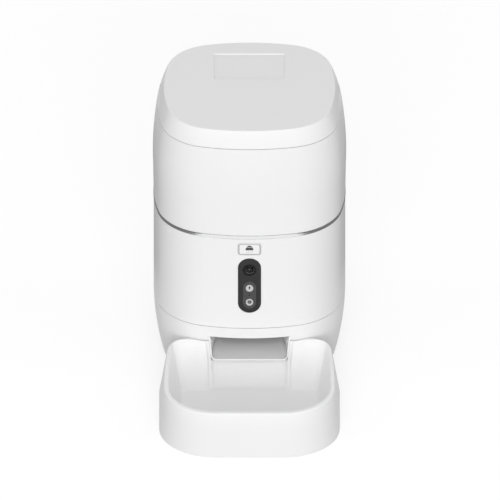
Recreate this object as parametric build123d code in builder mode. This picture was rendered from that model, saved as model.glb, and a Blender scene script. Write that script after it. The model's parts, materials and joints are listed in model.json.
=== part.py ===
"""Automatic camera pet feeder: a hopper over a metering rotor, a spout and a removable bowl.

Millimetres, +Z up, the front faces -Y. The origin is on the floor, at the middle of the whole
feeder's footprint. "Forward" values are distances in front of the hopper's upright axis.
"""

import math
import os

from build123d import *

os.makedirs("parts", exist_ok=True)

# ---------------------------------------------------------------- driving dimensions
# Body form
TOTAL_HEIGHT = 291.0
BODY_HALF_WIDTH = 96.4
BODY_HALF_DEPTH = 92.5
FOOT_RADIUS = 250.0  # the flanks below the lower seam draw in on this radius
BELLY_DROP = 0.6  # how much narrower the body is below the ring than at its waist
WAIST_Z = 205.0
CROWN_WIDTH_DROP = 10.7  # the top face is this much narrower on each side than the waist
CROWN_DEPTH_DROP = 6.4
CROWN_WIDTH_POWER = 4.0
CROWN_DEPTH_POWER = 6.0
SQUARENESS_LOW = 2.75  # superellipse exponent of the plan outline
SQUARENESS_TOP = 2.95

# Heights of the seams
SHELL_BOTTOM_Z = 1.5
LOWER_SEAM_Z = 64.7
RING_BOTTOM_Z = 168.4
RING_HEIGHT = 3.9
LID_SEAM_Z = 272.3
SEAM_GAP = 0.6

# Walls and clearances
WALL = 2.5
DECK_THICKNESS = 3.0
LID_WALL = 3.2
LID_TOP_WALL = 3.1
SLIDE_CLEARANCE = 0.3
BUTTON_CLEARANCE = 0.35
RUNNING_CLEARANCE = 0.04
SCREW_CLEARANCE = 0.1

# Lid
LID_EDGE_RADIUS = 0.8
BADGE_WIDTH = 71.6
BADGE_DEPTH = 50.0
BADGE_RECESS = 1.2
BADGE_CORNER = 2.4
BADGE_FORWARD = -40.0
SCOOP_FORWARD = -6.0
SCOOP_Z = 280.0
SCOOP_CUT = 2.6
SCOOP_TUBE_RADIUS = 9.0
SCOOP_SWEEP_RADIUS = 120.0
COLLAR_INSET = 3.8
COLLAR_WALL = 2.0
COLLAR_HEIGHT = 4.0
GASKET_THICKNESS = 2.0
GASKET_MARGIN = 0.2
SKIRT_CLEARANCE = 0.6
SKIRT_WALL = 1.6
SKIRT_DROP = 6.0

# Desiccant box under the lid
SACHET_BOX_WIDTH = 64.0
SACHET_BOX_DEPTH = 44.0
SACHET_BOX_HEIGHT = 17.0
SACHET_BOX_WALL = 2.6
SACHET_BOX_ROOF = 1.6
SACHET_COVER_THICKNESS = 1.6
SACHET_RAIL = 1.5
SACHET_BOX_CORNER = 3.0
SACHET_LEDGE = 1.6  # height of the rails that the cover slides on
SACHET_VENT_LENGTH = 10.0
SACHET_VENT_WIDTH = 1.8
SACHET_VENT_PITCH = (14.0, 5.0)
SACHET_VENT_COUNT = (4, 6)
SACHET_RIDGE_WIDTH = 2.0
SACHET_RIDGE_HEIGHT = 1.4

# Food tank
FUNNEL_TOP_Z = 214.0
FUNNEL_TOP_RADIUS = 92.0
FUNNEL_CORNER_Z = 222.0  # the hollow under the funnel reaches up to here in the corners
THROAT_Z = 176.0
THROAT_RADIUS = 38.0
FUNNEL_WALL_DROP = 3.2
TANK_SKIRT_INSET = 4.6
TANK_SKIRT_WALL = 2.0
TANK_RIM_THICKNESS = 4.0
TANK_FLANGE_THICKNESS = 3.0

# Trim ring
RING_PROUD = 0.3
RING_EDGE = 0.6
RING_WALL = 4.0

# Metering chamber and rotor
CHAMBER_RADIUS = 48.0
CHAMBER_FLOOR_Z = 130.0
CHAMBER_WALL = 2.5
OUTLET_INNER_RADIUS = 16.0
OUTLET_OUTER_RADIUS = 44.0
OUTLET_HALF_ANGLE = 28.0
BAFFLE_HALF_ANGLE = 38.0
BAFFLE_INNER_RADIUS = 12.0
ROTOR_RADIUS = 46.8
ROTOR_VANES = 6
ROTOR_VANE_THICKNESS = 2.4
ROTOR_HUB_RADIUS = 9.0
ROTOR_TOP_GAP = 1.4
ROTOR_RIM_HEIGHT = 2.5
AXLE_RADIUS = 3.0
GEAR_MODULE = 1.5
RING_GEAR_TEETH = 60
PINION_TEETH = 12
GEAR_HEIGHT = 5.6
GEAR_BACKLASH = 0.4
GEAR_FLANK_ANGLE = 24.0
GEAR_FLOOR_GAP = 0.6

# Gear motor
GEARBOX_RADIUS = 16.0
GEARBOX_HEIGHT = 22.0
MOTOR_RADIUS = 12.5
MOTOR_HEIGHT = 30.0

# Spout
SPOUT_TOP_Z = 53.0
SPOUT_LIP_Z = 34.3
SPOUT_LIP_FORWARD = 101.5
SPOUT_TOP_HALF_WIDTH = 39.7
SPOUT_LIP_HALF_WIDTH = 36.9
SPOUT_CORNER_RADIUS = 4.5
SPOUT_WALL = 1.2
SPOUT_BROW_Z = 46.0  # above this height the shell's front bulges past the mouth's plane
SPOUT_INNER_CORNER = 1.5
SPOUT_KNEE_FORWARD = 94.0
SPOUT_KNEE_Z = 35.1
SPOUT_KNEE_TOP_FORWARD = 87.5
SPOUT_KNEE_HALF_WIDTH = 36.2
SPOUT_INNER_FORWARD = 84.4
LINER_WALL = 1.6
SPOUT_FLOOR_SLOPE = 0.2  # the spout's floor rises gently up to the foot of the ramp
LINER_FLARE_FORWARD = 68.0
LINER_FLARE_HALF_WIDTH = 30.5
LINER_INLET_REAR = 12.0
LINER_INLET_FRONT = 47.5

# Front controls
PANEL_WIDTH = 22.9
PANEL_HEIGHT = 63.1
PANEL_CENTRE_Z = 114.7
PANEL_THICKNESS = 2.2
PANEL_PROUD = 0.4
LENS_Z = 132.9
WINDOW_RADIUS = 5.4
LENS_BEZEL_RADIUS = 6.6
INLAY_WIDTH = 13.5
INLAY_BOTTOM_Z = 88.0
INLAY_TOP_Z = 119.7
INLAY_THICKNESS = 0.9
SMALL_BUTTON_RADIUS = 3.87
RECORD_BUTTON_Z = 112.1
PLAYBACK_BUTTON_Z = 95.8
SMALL_BUTTON_PROUD = 1.0
SMALL_BUTTON_TRAVEL = 0.6
FEED_BUTTON_WIDTH = 22.5
FEED_BUTTON_HEIGHT = 13.1
FEED_BUTTON_Z = 157.25
FEED_BUTTON_CORNER = 2.5
FEED_BUTTON_PROUD = 0.6
FEED_BUTTON_TRAVEL = 1.0
BUTTON_FLANGE = 1.6
BUTTON_FLANGE_THICKNESS = 1.4
PAD_HALF_WIDTH = 19.0
PAD_DEPTH = 6.0
MIC_HOLE_Z = 103.7
MIC_HOLE_RADIUS = 0.6
BOARD_THICKNESS = 1.6
CONTROL_BOARD_WIDTH = 33.0
CONTROL_BOARD_FORWARD = 78.0
SWITCH_HEIGHT = 3.0
SWITCH_SIDE = 6.0

# Bowl
BOWL_HEIGHT = 48.2
BOWL_RIM_HALF_WIDTH = 85.7
BOWL_DRAFT = 4.6
BOWL_RIM_FRONT = 231.0
BOWL_REAR = 82.6
BOWL_RIM_WIDTH = 4.6
BOWL_FRONT_RIM_WIDTH = 6.2
BOWL_REAR_RIM_WIDTH = 2.6
BOWL_FRONT_CORNER = 52.0
BOWL_REAR_CORNER = 24.0
BOWL_INNER_REAR_CORNER = 10.0
BOWL_FLOOR_Z = 4.2
BOWL_FLOOR_HALF_WIDTH = 68.3
BOWL_FLOOR_FRONT = 212.0
BOWL_FLOOR_REAR = 111.0
BOWL_FLOOR_FRONT_CORNER = 36.0
BOWL_FLOOR_REAR_CORNER = 8.0
BOWL_FLOOR_RADIUS = 5.5
BOWL_WALL = 2.2
BOWL_BODY_CLEARANCE = 0.7
NOTCH_HALF_WIDTH_LOW = 38.3
NOTCH_HALF_WIDTH_TOP = 41.4
NOTCH_BACK_LOW = 104.5
NOTCH_BACK_TOP = 87.4
NOTCH_EDGE_Z = 30.0
NOTCH_CORNER_RADIUS = 4.0

# Openings, posts and slots
GRILLE_PITCH = 5.0
GRILLE_SLOTS = 6
GRILLE_SLOT_LENGTH = 26.0
GRILLE_SLOT_WIDTH = 2.0
BOARD_POST_RADIUS = 2.6
GRIP_SLOTS = 3
GRIP_SLOT_PITCH = 3.0
GRIP_SLOT_LENGTH = 30.0
GRIP_SLOT_WIDTH = 1.2
GRIP_SLOT_INSET = 8.0

# Underside
PLATE_BOTTOM_Z = 2.0
PLATE_THICKNESS = 4.0
PLATE_MARGIN = 0.4
FOOT_PAD_RADIUS = 8.0
FOOT_PAD_RECESS = 1.2
FOOT_SPREAD_X = 68.0
FOOT_SPREAD_Y = 44.0
CELL_RADIUS = 16.6
CELL_LENGTH = 60.0
CELL_COUNT = 3
CELL_GAP = 0.8
CELL_CLEARANCE = 1.0
BAY_WALL = 2.2
BAY_CENTRE_FORWARD = -22.0
BAY_END_ROOM = 2.5
DOOR_THICKNESS = 2.0
DOOR_TRAVEL = 12.0
DOOR_TONGUE = 2.4

# Fasteners
COLUMN_X = 78.0
COLUMN_FORWARD = 25.0
COLUMN_RADIUS = 4.6
RIB_WIDTH = 2.0
LOCATING_LIP_HEIGHT = 4.0
LOCATING_LIP_ROOT = 4.0  # how far below the seam the lip grows out of the wall
LOCATING_LIP_WALL = 1.6
SCREW_RADIUS = 1.5
SCREW_HEAD_RADIUS = 2.8
SCREW_HEAD_HEIGHT = 2.0

# Rear side
INLET_X = 36.0
INLET_Z = 80.0
INLET_WIDTH = 12.0
INLET_HEIGHT = 11.0
INLET_DEPTH = 14.0
INLET_SOCKET_RADIUS = 3.2
INLET_PIN_RADIUS = 1.0
SPEAKER_X = -38.0
SPEAKER_Z = 112.0
SPEAKER_RADIUS = 20.0
MAIN_BOARD_WIDTH = 70.0
MAIN_BOARD_HEIGHT = 46.0

# ---------------------------------------------------------------- derived places
ON_BASE = (Align.CENTER, Align.CENTER, Align.MIN)
BOWL_GROUND_FRONT = BOWL_RIM_FRONT + BOWL_DRAFT
BODY_Y = (BOWL_GROUND_FRONT - BODY_HALF_DEPTH - RING_PROUD) / 2
LID_BOTTOM_Z = LID_SEAM_Z + SEAM_GAP / 2
TANK_TOP_Z = LID_SEAM_Z - SEAM_GAP / 2
RING_TOP_Z = RING_BOTTOM_Z + RING_HEIGHT
TANK_BOTTOM_Z = RING_TOP_Z + SEAM_GAP / 2
BASE_BOTTOM_Z = LOWER_SEAM_Z + SEAM_GAP / 2
SHELL_TOP_Z = LOWER_SEAM_Z - SEAM_GAP / 2
DECK_BOTTOM_Z = RING_BOTTOM_Z - DECK_THICKNESS


# ---------------------------------------------------------------- shared geometry
def y_at(forward):
    """World Y of a place the given distance in front of the body's axis."""
    return BODY_Y - forward


def foot_drop(z):
    """How far the body draws in below the lower seam."""
    below = max(0.0, LOWER_SEAM_Z - z)
    return FOOT_RADIUS - math.sqrt(FOOT_RADIUS**2 - below**2)


def belly_drop(z):
    """How far the body draws in from its waist down to the ring."""
    share = (WAIST_Z - z) / (WAIST_Z - RING_BOTTOM_Z)
    return BELLY_DROP * min(1.0, max(0.0, share))


def crown_drop(z, drop, power):
    """How far the body draws in above its waist."""
    rise = max(0.0, (z - WAIST_Z) / (TOTAL_HEIGHT - WAIST_Z))
    return drop * rise**power


def half_width(z):
    """Half of the body's width at a height."""
    return BODY_HALF_WIDTH - foot_drop(z) - belly_drop(z) - crown_drop(z, CROWN_WIDTH_DROP, CROWN_WIDTH_POWER)


def half_depth(z):
    """Half of the body's depth at a height."""
    return BODY_HALF_DEPTH - foot_drop(z) - crown_drop(z, CROWN_DEPTH_DROP, CROWN_DEPTH_POWER)


def squareness(z):
    """Superellipse exponent of the body's outline at a height."""
    rise = max(0.0, (z - RING_BOTTOM_Z) / (TOTAL_HEIGHT - RING_BOTTOM_Z))
    return SQUARENESS_LOW + (SQUARENESS_TOP - SQUARENESS_LOW) * rise


def corner_arc(a, b, power):
    """Radius and centre of the corner arc of a superellipse of half-sizes a and b, at its middle."""
    reach = 0.5 ** (1 / power)
    radius = math.hypot(a, b) * reach / (power - 1)
    slope = math.hypot(1 / a, 1 / b)
    return radius, a * reach - radius / (a * slope), b * reach - radius / (b * slope)


def side_radius(half, radius, along, across):
    """Radius of the side arc at distance half that runs tangent into the corner arc."""
    gap = along - half
    return (radius**2 - gap**2 - across**2) / (2 * (gap + radius))


def quarter_arcs(a, b, power):
    """Ends and middle of the corner arc of one quarter of the outline."""
    radius, cx, cy = corner_arc(a, b, power)
    side = side_radius(a, radius, cx, cy) - radius
    front = side_radius(b, radius, cy, cx) - radius
    lean = 1 / math.hypot(1 / a, 1 / b)
    return (
        (cx + radius * (cx - a + side + radius) / side, cy + radius * cy / side),
        (cx + radius * lean / a, cy + radius * lean / b),
        (cx + radius * cx / front, cy + radius * (cy - b + front + radius) / front),
    )


def outline_face(z, y, a, b, corner):
    """A level face centred on (0, y), its outline eight arcs; corner holds the points of one corner arc."""
    (x1, y1), (x2, y2), (x3, y3) = corner
    with BuildSketch(Plane((0, y, z))) as face:
        with BuildLine():
            for side in (1, -1):
                ThreePointArc((side * x1, -side * y1), (side * a, 0), (side * x1, side * y1))
                ThreePointArc((side * x1, side * y1), (side * x2, side * y2), (side * x3, side * y3))
                ThreePointArc((side * x3, side * y3), (0, side * b), (-side * x3, side * y3))
                ThreePointArc((-side * x3, side * y3), (-side * x2, side * y2), (-side * x1, side * y1))
        make_face()
    return face.sketch


def front_at(x, z):
    """How far forward the body's front face stands at a place on it."""
    a = half_width(z)
    b = half_depth(z)
    radius, cx, cy = corner_arc(a, b, squareness(z))
    front = side_radius(b, radius, cy, cx)
    if abs(x) < cx * front / (front - radius):
        return b - front + math.sqrt(front**2 - x**2)
    return cy + math.sqrt(radius**2 - (abs(x) - cx) ** 2)


def body_section(z, inset):
    """The body's plan outline at a height, drawn in by an inset."""
    a = half_width(z) - inset
    b = half_depth(z) - inset
    return outline_face(z, BODY_Y, a, b, quarter_arcs(a, b, squareness(z)))


def body_sections(z_low, z_high, inset, count=2):
    """Evenly spaced outlines of the body for a loft."""
    step = (z_high - z_low) / (count - 1)
    return [body_section(z_low + step * index, inset) for index in range(count)]


def rounded_face(z, half, rear, front, rear_corner, front_corner):
    """A level face with rounded corners; rear and front are distances ahead of the body's axis."""
    low, high = y_at(front), y_at(rear)
    near, far = front_corner, rear_corner
    bend = 1 - math.sqrt(0.5)
    with BuildSketch(Plane.XY.offset(z)) as face:
        with BuildLine():
            Line((-half + near, low), (half - near, low))
            ThreePointArc((half - near, low), (half - bend * near, low + bend * near), (half, low + near))
            Line((half, low + near), (half, high - far))
            ThreePointArc((half, high - far), (half - bend * far, high - bend * far), (half - far, high))
            Line((half - far, high), (-half + far, high))
            ThreePointArc((-half + far, high), (-half + bend * far, high - bend * far), (-half, high - far))
            Line((-half, high - far), (-half, low + near))
            ThreePointArc((-half, low + near), (-half + bend * near, low + bend * near), (-half + near, low))
        make_face()
    return face.sketch


def front_plane(forward, z):
    """An upright plane that faces the front, its origin at the given place."""
    return Plane((0, y_at(forward), z), x_dir=(1, 0, 0), z_dir=(0, -1, 0))


def rear_plane(forward, x, z):
    """An upright plane that faces the rear."""
    return Plane((x, y_at(forward), z), x_dir=(-1, 0, 0), z_dir=(0, 1, 0))


def finish(piece, label):
    """Name a finished piece and write it."""
    piece.part.label = label
    export_step(piece.part, f"parts/{label}.step")


# ---------------------------------------------------------------- lid
COLLAR_INNER_INSET = COLLAR_INSET + COLLAR_WALL
COLLAR_TOP_Z = TANK_TOP_Z + COLLAR_HEIGHT
LID_SHOULDER_Z = COLLAR_TOP_Z + GASKET_THICKNESS
LID_UNDERSIDE_Z = TOTAL_HEIGHT - LID_TOP_WALL
SKIRT_OUTER_INSET = COLLAR_INNER_INSET + SKIRT_CLEARANCE
SKIRT_INNER_INSET = SKIRT_OUTER_INSET + SKIRT_WALL
SKIRT_BOTTOM_Z = TANK_TOP_Z - SKIRT_DROP
SCOOP_X = half_width(SCOOP_Z) - SCOOP_CUT + SCOOP_TUBE_RADIUS + SCOOP_SWEEP_RADIUS

with BuildPart() as lid:
    loft(body_sections(LID_BOTTOM_Z, TOTAL_HEIGHT, 0, 5))
    fillet(lid.faces().sort_by(Axis.Z)[-1].edges(), LID_EDGE_RADIUS)
    loft(body_sections(LID_BOTTOM_Z - 1, LID_SHOULDER_Z, LID_WALL), ruled=True, mode=Mode.SUBTRACT)
    loft(body_sections(SKIRT_BOTTOM_Z, LID_SHOULDER_Z + 1, SKIRT_OUTER_INSET))
    loft(body_sections(SKIRT_BOTTOM_Z - 1, LID_UNDERSIDE_Z, SKIRT_INNER_INSET), mode=Mode.SUBTRACT)
    # finger scoops in both flanks
    with Locations((SCOOP_X, y_at(SCOOP_FORWARD), SCOOP_Z), (-SCOOP_X, y_at(SCOOP_FORWARD), SCOOP_Z)):
        Torus(SCOOP_SWEEP_RADIUS, SCOOP_TUBE_RADIUS, mode=Mode.SUBTRACT)
    # blank recessed field with bevelled edges
    with BuildSketch(Plane((0, y_at(BADGE_FORWARD), TOTAL_HEIGHT))) as badge_mouth:
        RectangleRounded(BADGE_WIDTH, BADGE_DEPTH, BADGE_CORNER)
    with BuildSketch(Plane((0, y_at(BADGE_FORWARD), TOTAL_HEIGHT - BADGE_RECESS))) as badge_floor:
        RectangleRounded(
            BADGE_WIDTH - 2 * BADGE_RECESS, BADGE_DEPTH - 2 * BADGE_RECESS, BADGE_CORNER - BADGE_RECESS
        )
    loft([badge_mouth.sketch, badge_floor.sketch], ruled=True, mode=Mode.SUBTRACT)
finish(lid, "lid")

with BuildPart() as lid_gasket:
    loft(body_sections(COLLAR_TOP_Z, LID_SHOULDER_Z, COLLAR_INSET - GASKET_MARGIN))
    loft(
        body_sections(COLLAR_TOP_Z, LID_SHOULDER_Z, COLLAR_INNER_INSET + GASKET_MARGIN),
        mode=Mode.SUBTRACT,
    )
finish(lid_gasket, "lid_gasket")

# ---------------------------------------------------------------- desiccant box
SACHET_BOTTOM_Z = LID_UNDERSIDE_Z - SACHET_BOX_HEIGHT
SACHET_GROOVE_Z = SACHET_BOTTOM_Z + SACHET_LEDGE
SACHET_GROOVE_HEIGHT = SACHET_COVER_THICKNESS + 2 * SLIDE_CLEARANCE
SACHET_COVER_Z = SACHET_GROOVE_Z + SLIDE_CLEARANCE
SACHET_INNER_WIDTH = SACHET_BOX_WIDTH - 2 * SACHET_BOX_WALL
SACHET_INNER_DEPTH = SACHET_BOX_DEPTH - 2 * SACHET_BOX_WALL
SACHET_COVER_WIDTH = SACHET_INNER_WIDTH + SACHET_BOX_WALL - 0.6
SACHET_COVER_X = (SACHET_BOX_WALL - 0.6) / 2 + SLIDE_CLEARANCE / 2

with BuildPart() as desiccant_box:
    with BuildSketch(Plane((0, BODY_Y, SACHET_BOTTOM_Z))):
        RectangleRounded(SACHET_BOX_WIDTH, SACHET_BOX_DEPTH, SACHET_BOX_CORNER)
    extrude(amount=SACHET_BOX_HEIGHT)
    with BuildSketch(Plane((0, BODY_Y, SACHET_BOTTOM_Z))):
        Rectangle(SACHET_INNER_WIDTH, SACHET_INNER_DEPTH)
    extrude(amount=SACHET_BOX_HEIGHT - SACHET_BOX_ROOF, mode=Mode.SUBTRACT)
    # groove for the cover, open at the +X end
    groove_length = SACHET_INNER_WIDTH + SACHET_BOX_WALL + 1
    with BuildSketch(Plane(((SACHET_BOX_WALL + 1) / 2, BODY_Y, SACHET_GROOVE_Z))):
        Rectangle(groove_length, SACHET_INNER_DEPTH + 2 * SACHET_RAIL)
    extrude(amount=SACHET_GROOVE_HEIGHT, mode=Mode.SUBTRACT)
    with BuildSketch(Plane((SACHET_BOX_WIDTH / 2, BODY_Y, SACHET_BOTTOM_Z))):
        Rectangle(2 * SACHET_BOX_WALL + 1, SACHET_INNER_DEPTH)
    extrude(amount=SACHET_GROOVE_HEIGHT, mode=Mode.SUBTRACT)
finish(desiccant_box, "desiccant_box")

with BuildPart() as desiccant_cover:
    with BuildSketch(Plane((SACHET_COVER_X, BODY_Y, SACHET_COVER_Z))):
        Rectangle(SACHET_COVER_WIDTH, SACHET_INNER_DEPTH + 2 * SACHET_RAIL - 2 * SLIDE_CLEARANCE)
        with GridLocations(*SACHET_VENT_PITCH, *SACHET_VENT_COUNT):
            Rectangle(SACHET_VENT_LENGTH, SACHET_VENT_WIDTH, mode=Mode.SUBTRACT)
    extrude(amount=SACHET_COVER_THICKNESS)
    # thumb ridge near the open end
    ridge_x = SACHET_COVER_X + SACHET_COVER_WIDTH / 2 - 0.75 * SACHET_RIDGE_WIDTH
    with BuildSketch(Plane((ridge_x, BODY_Y, SACHET_COVER_Z))):
        Rectangle(SACHET_RIDGE_WIDTH, SACHET_INNER_DEPTH - 4 * SACHET_RIDGE_WIDTH)
    extrude(amount=-SACHET_RIDGE_HEIGHT)
finish(desiccant_cover, "desiccant_cover")

# ---------------------------------------------------------------- food tank
TANK_RIM_Z = TANK_TOP_Z - TANK_RIM_THICKNESS
TANK_FLANGE_TOP_Z = TANK_BOTTOM_Z + TANK_FLANGE_THICKNESS
TANK_SKIRT_INNER_INSET = TANK_SKIRT_INSET + TANK_SKIRT_WALL


def funnel(drop):
    """Size of the funnel's cone, lowered by the wall's upright thickness, carried on past the walls."""
    height = 3 * (FUNNEL_TOP_Z - THROAT_Z)
    return Pos(0, BODY_Y, THROAT_Z - drop + height / 2) * Solid.make_cone(
        THROAT_RADIUS, 3 * FUNNEL_TOP_RADIUS - 2 * THROAT_RADIUS, height, Plane.XY.offset(-height / 2)
    )


with BuildPart() as tank_hollow:
    loft(body_sections(THROAT_Z, WAIST_Z, WALL), ruled=True)
    loft(body_sections(WAIST_Z, TANK_RIM_Z, WALL, 3), ruled=True)
    add(funnel(0), mode=Mode.INTERSECT)
    loft(body_sections(TANK_RIM_Z - 1, COLLAR_TOP_Z + 1, COLLAR_INNER_INSET), ruled=True)
    with Locations((0, BODY_Y, RING_BOTTOM_Z - 1)):
        Cylinder(THROAT_RADIUS, THROAT_Z - RING_BOTTOM_Z + 2, align=ON_BASE)

with BuildPart() as tank_hollow_below:
    loft(body_sections(RING_BOTTOM_Z - 1, TANK_FLANGE_TOP_Z + 0.5, TANK_SKIRT_INNER_INSET), ruled=True)
    loft(body_sections(TANK_FLANGE_TOP_Z, FUNNEL_CORNER_Z, WALL), ruled=True)
    add(funnel(FUNNEL_WALL_DROP), mode=Mode.SUBTRACT)
    with Locations((0, BODY_Y, RING_BOTTOM_Z - 2)):
        Cylinder(THROAT_RADIUS + WALL, 2 * (THROAT_Z - RING_BOTTOM_Z), align=ON_BASE, mode=Mode.SUBTRACT)

with BuildPart() as food_tank:
    loft(body_sections(WAIST_Z, TANK_TOP_Z, 0, 3))
    loft(body_sections(TANK_BOTTOM_Z, WAIST_Z, 0), ruled=True)
    loft(body_sections(RING_BOTTOM_Z, TANK_BOTTOM_Z + 1, TANK_SKIRT_INSET), ruled=True)
    loft(body_sections(TANK_TOP_Z - 1, COLLAR_TOP_Z, COLLAR_INSET), ruled=True)
    add(tank_hollow.part, mode=Mode.SUBTRACT)
    add(tank_hollow_below.part, mode=Mode.SUBTRACT)
finish(food_tank, "food_tank")

# ---------------------------------------------------------------- trim ring
ring_profile = (
    (RING_BOTTOM_Z, 0),
    (RING_BOTTOM_Z + RING_EDGE, -RING_PROUD),
    (RING_TOP_Z - RING_EDGE, -RING_PROUD),
    (RING_TOP_Z, 0),
)

with BuildPart() as trim_ring:
    loft([body_section(z, inset) for z, inset in ring_profile], ruled=True)
    loft(body_sections(RING_BOTTOM_Z - 1, RING_TOP_Z + 1, RING_WALL), ruled=True, mode=Mode.SUBTRACT)
finish(trim_ring, "trim_ring")

# ---------------------------------------------------------------- base housing
PAD_BACK = BODY_HALF_DEPTH - PAD_DEPTH
PAD_BOTTOM_Z = PANEL_CENTRE_Z - PANEL_HEIGHT / 2 - 5
PANEL_BACK = BODY_HALF_DEPTH + PANEL_PROUD - PANEL_THICKNESS
SMALL_BUTTON_HOLE = SMALL_BUTTON_RADIUS + BUTTON_CLEARANCE
CONTROL_BOARD_FRONT = CONTROL_BOARD_FORWARD + BOARD_THICKNESS
BOARD_POST_Z = (PAD_BOTTOM_Z + 9, DECK_BOTTOM_Z - 18)
BOARD_POST_X = CONTROL_BOARD_WIDTH / 2 - 3.5
SPEAKER_FRONT = -79.5
SPEAKER_BOSS_WALL = 2.0
MAIN_BOARD_FORWARD = -78.0
MAIN_BOARD_X = 25.0
MAIN_BOARD_Z = 119.0
MAIN_POST_X = MAIN_BOARD_WIDTH / 2 - 4
MAIN_POST_Z = MAIN_BOARD_HEIGHT / 2 - 4
CHAMBER_EAR_RADIUS = CHAMBER_RADIUS + CHAMBER_WALL + 5.5
COLUMN_PLACES = [(side * COLUMN_X, end * COLUMN_FORWARD) for side in (-1, 1) for end in (-1, 1)]


def front_sector(inner, outer, half_angle):
    """A ring sector towards the front, centred on the body's axis, in the current sketch."""
    spread = math.radians(half_angle)
    reach = 2 * outer
    side = reach * math.sin(spread)
    front = -reach * math.cos(spread)
    with BuildSketch(Plane.XY) as sector:
        Polygon((0, 0), (-side, front), (side, front), align=None)
        Circle(outer, mode=Mode.INTERSECT)
        Circle(inner, mode=Mode.SUBTRACT)
    return sector.sketch


def column_with_rib(x, y, z_low, rib_low, z_high):
    """A screw column and the rib that ties it to the flank, up to the flank's mid wall."""
    side = math.copysign(1, x)
    with BuildPart() as column:
        with BuildSketch(Plane((x, BODY_Y + y, z_low))):
            Circle(COLUMN_RADIUS)
        extrude(amount=z_high - z_low)
        with BuildSketch(Plane((x, BODY_Y + y, rib_low))):
            with Locations((side * COLUMN_RADIUS * 2.5, 0)):
                Rectangle(COLUMN_RADIUS * 5, RIB_WIDTH)
        extrude(amount=z_high - rib_low)
        loft(body_sections(z_low, z_high, WALL / 2), ruled=True, mode=Mode.INTERSECT)
    return column.part


BASE_RIB_Z = SHELL_TOP_Z + LOCATING_LIP_HEIGHT + 1
BASE_COLUMNS = [column_with_rib(x, y, SHELL_TOP_Z, BASE_RIB_Z, DECK_BOTTOM_Z + 1) for x, y in COLUMN_PLACES]

with BuildPart() as speaker_boss:
    with BuildSketch(rear_plane(SPEAKER_FRONT + SPEAKER_BOSS_WALL, SPEAKER_X, SPEAKER_Z)):
        Circle(SPEAKER_RADIUS + SLIDE_CLEARANCE + SPEAKER_BOSS_WALL)
        Circle(SPEAKER_RADIUS + SLIDE_CLEARANCE, mode=Mode.SUBTRACT)
    extrude(amount=BODY_HALF_DEPTH)
    loft(body_sections(SPEAKER_Z - 30, SPEAKER_Z + 30, WALL / 2), ruled=True, mode=Mode.INTERSECT)

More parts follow.
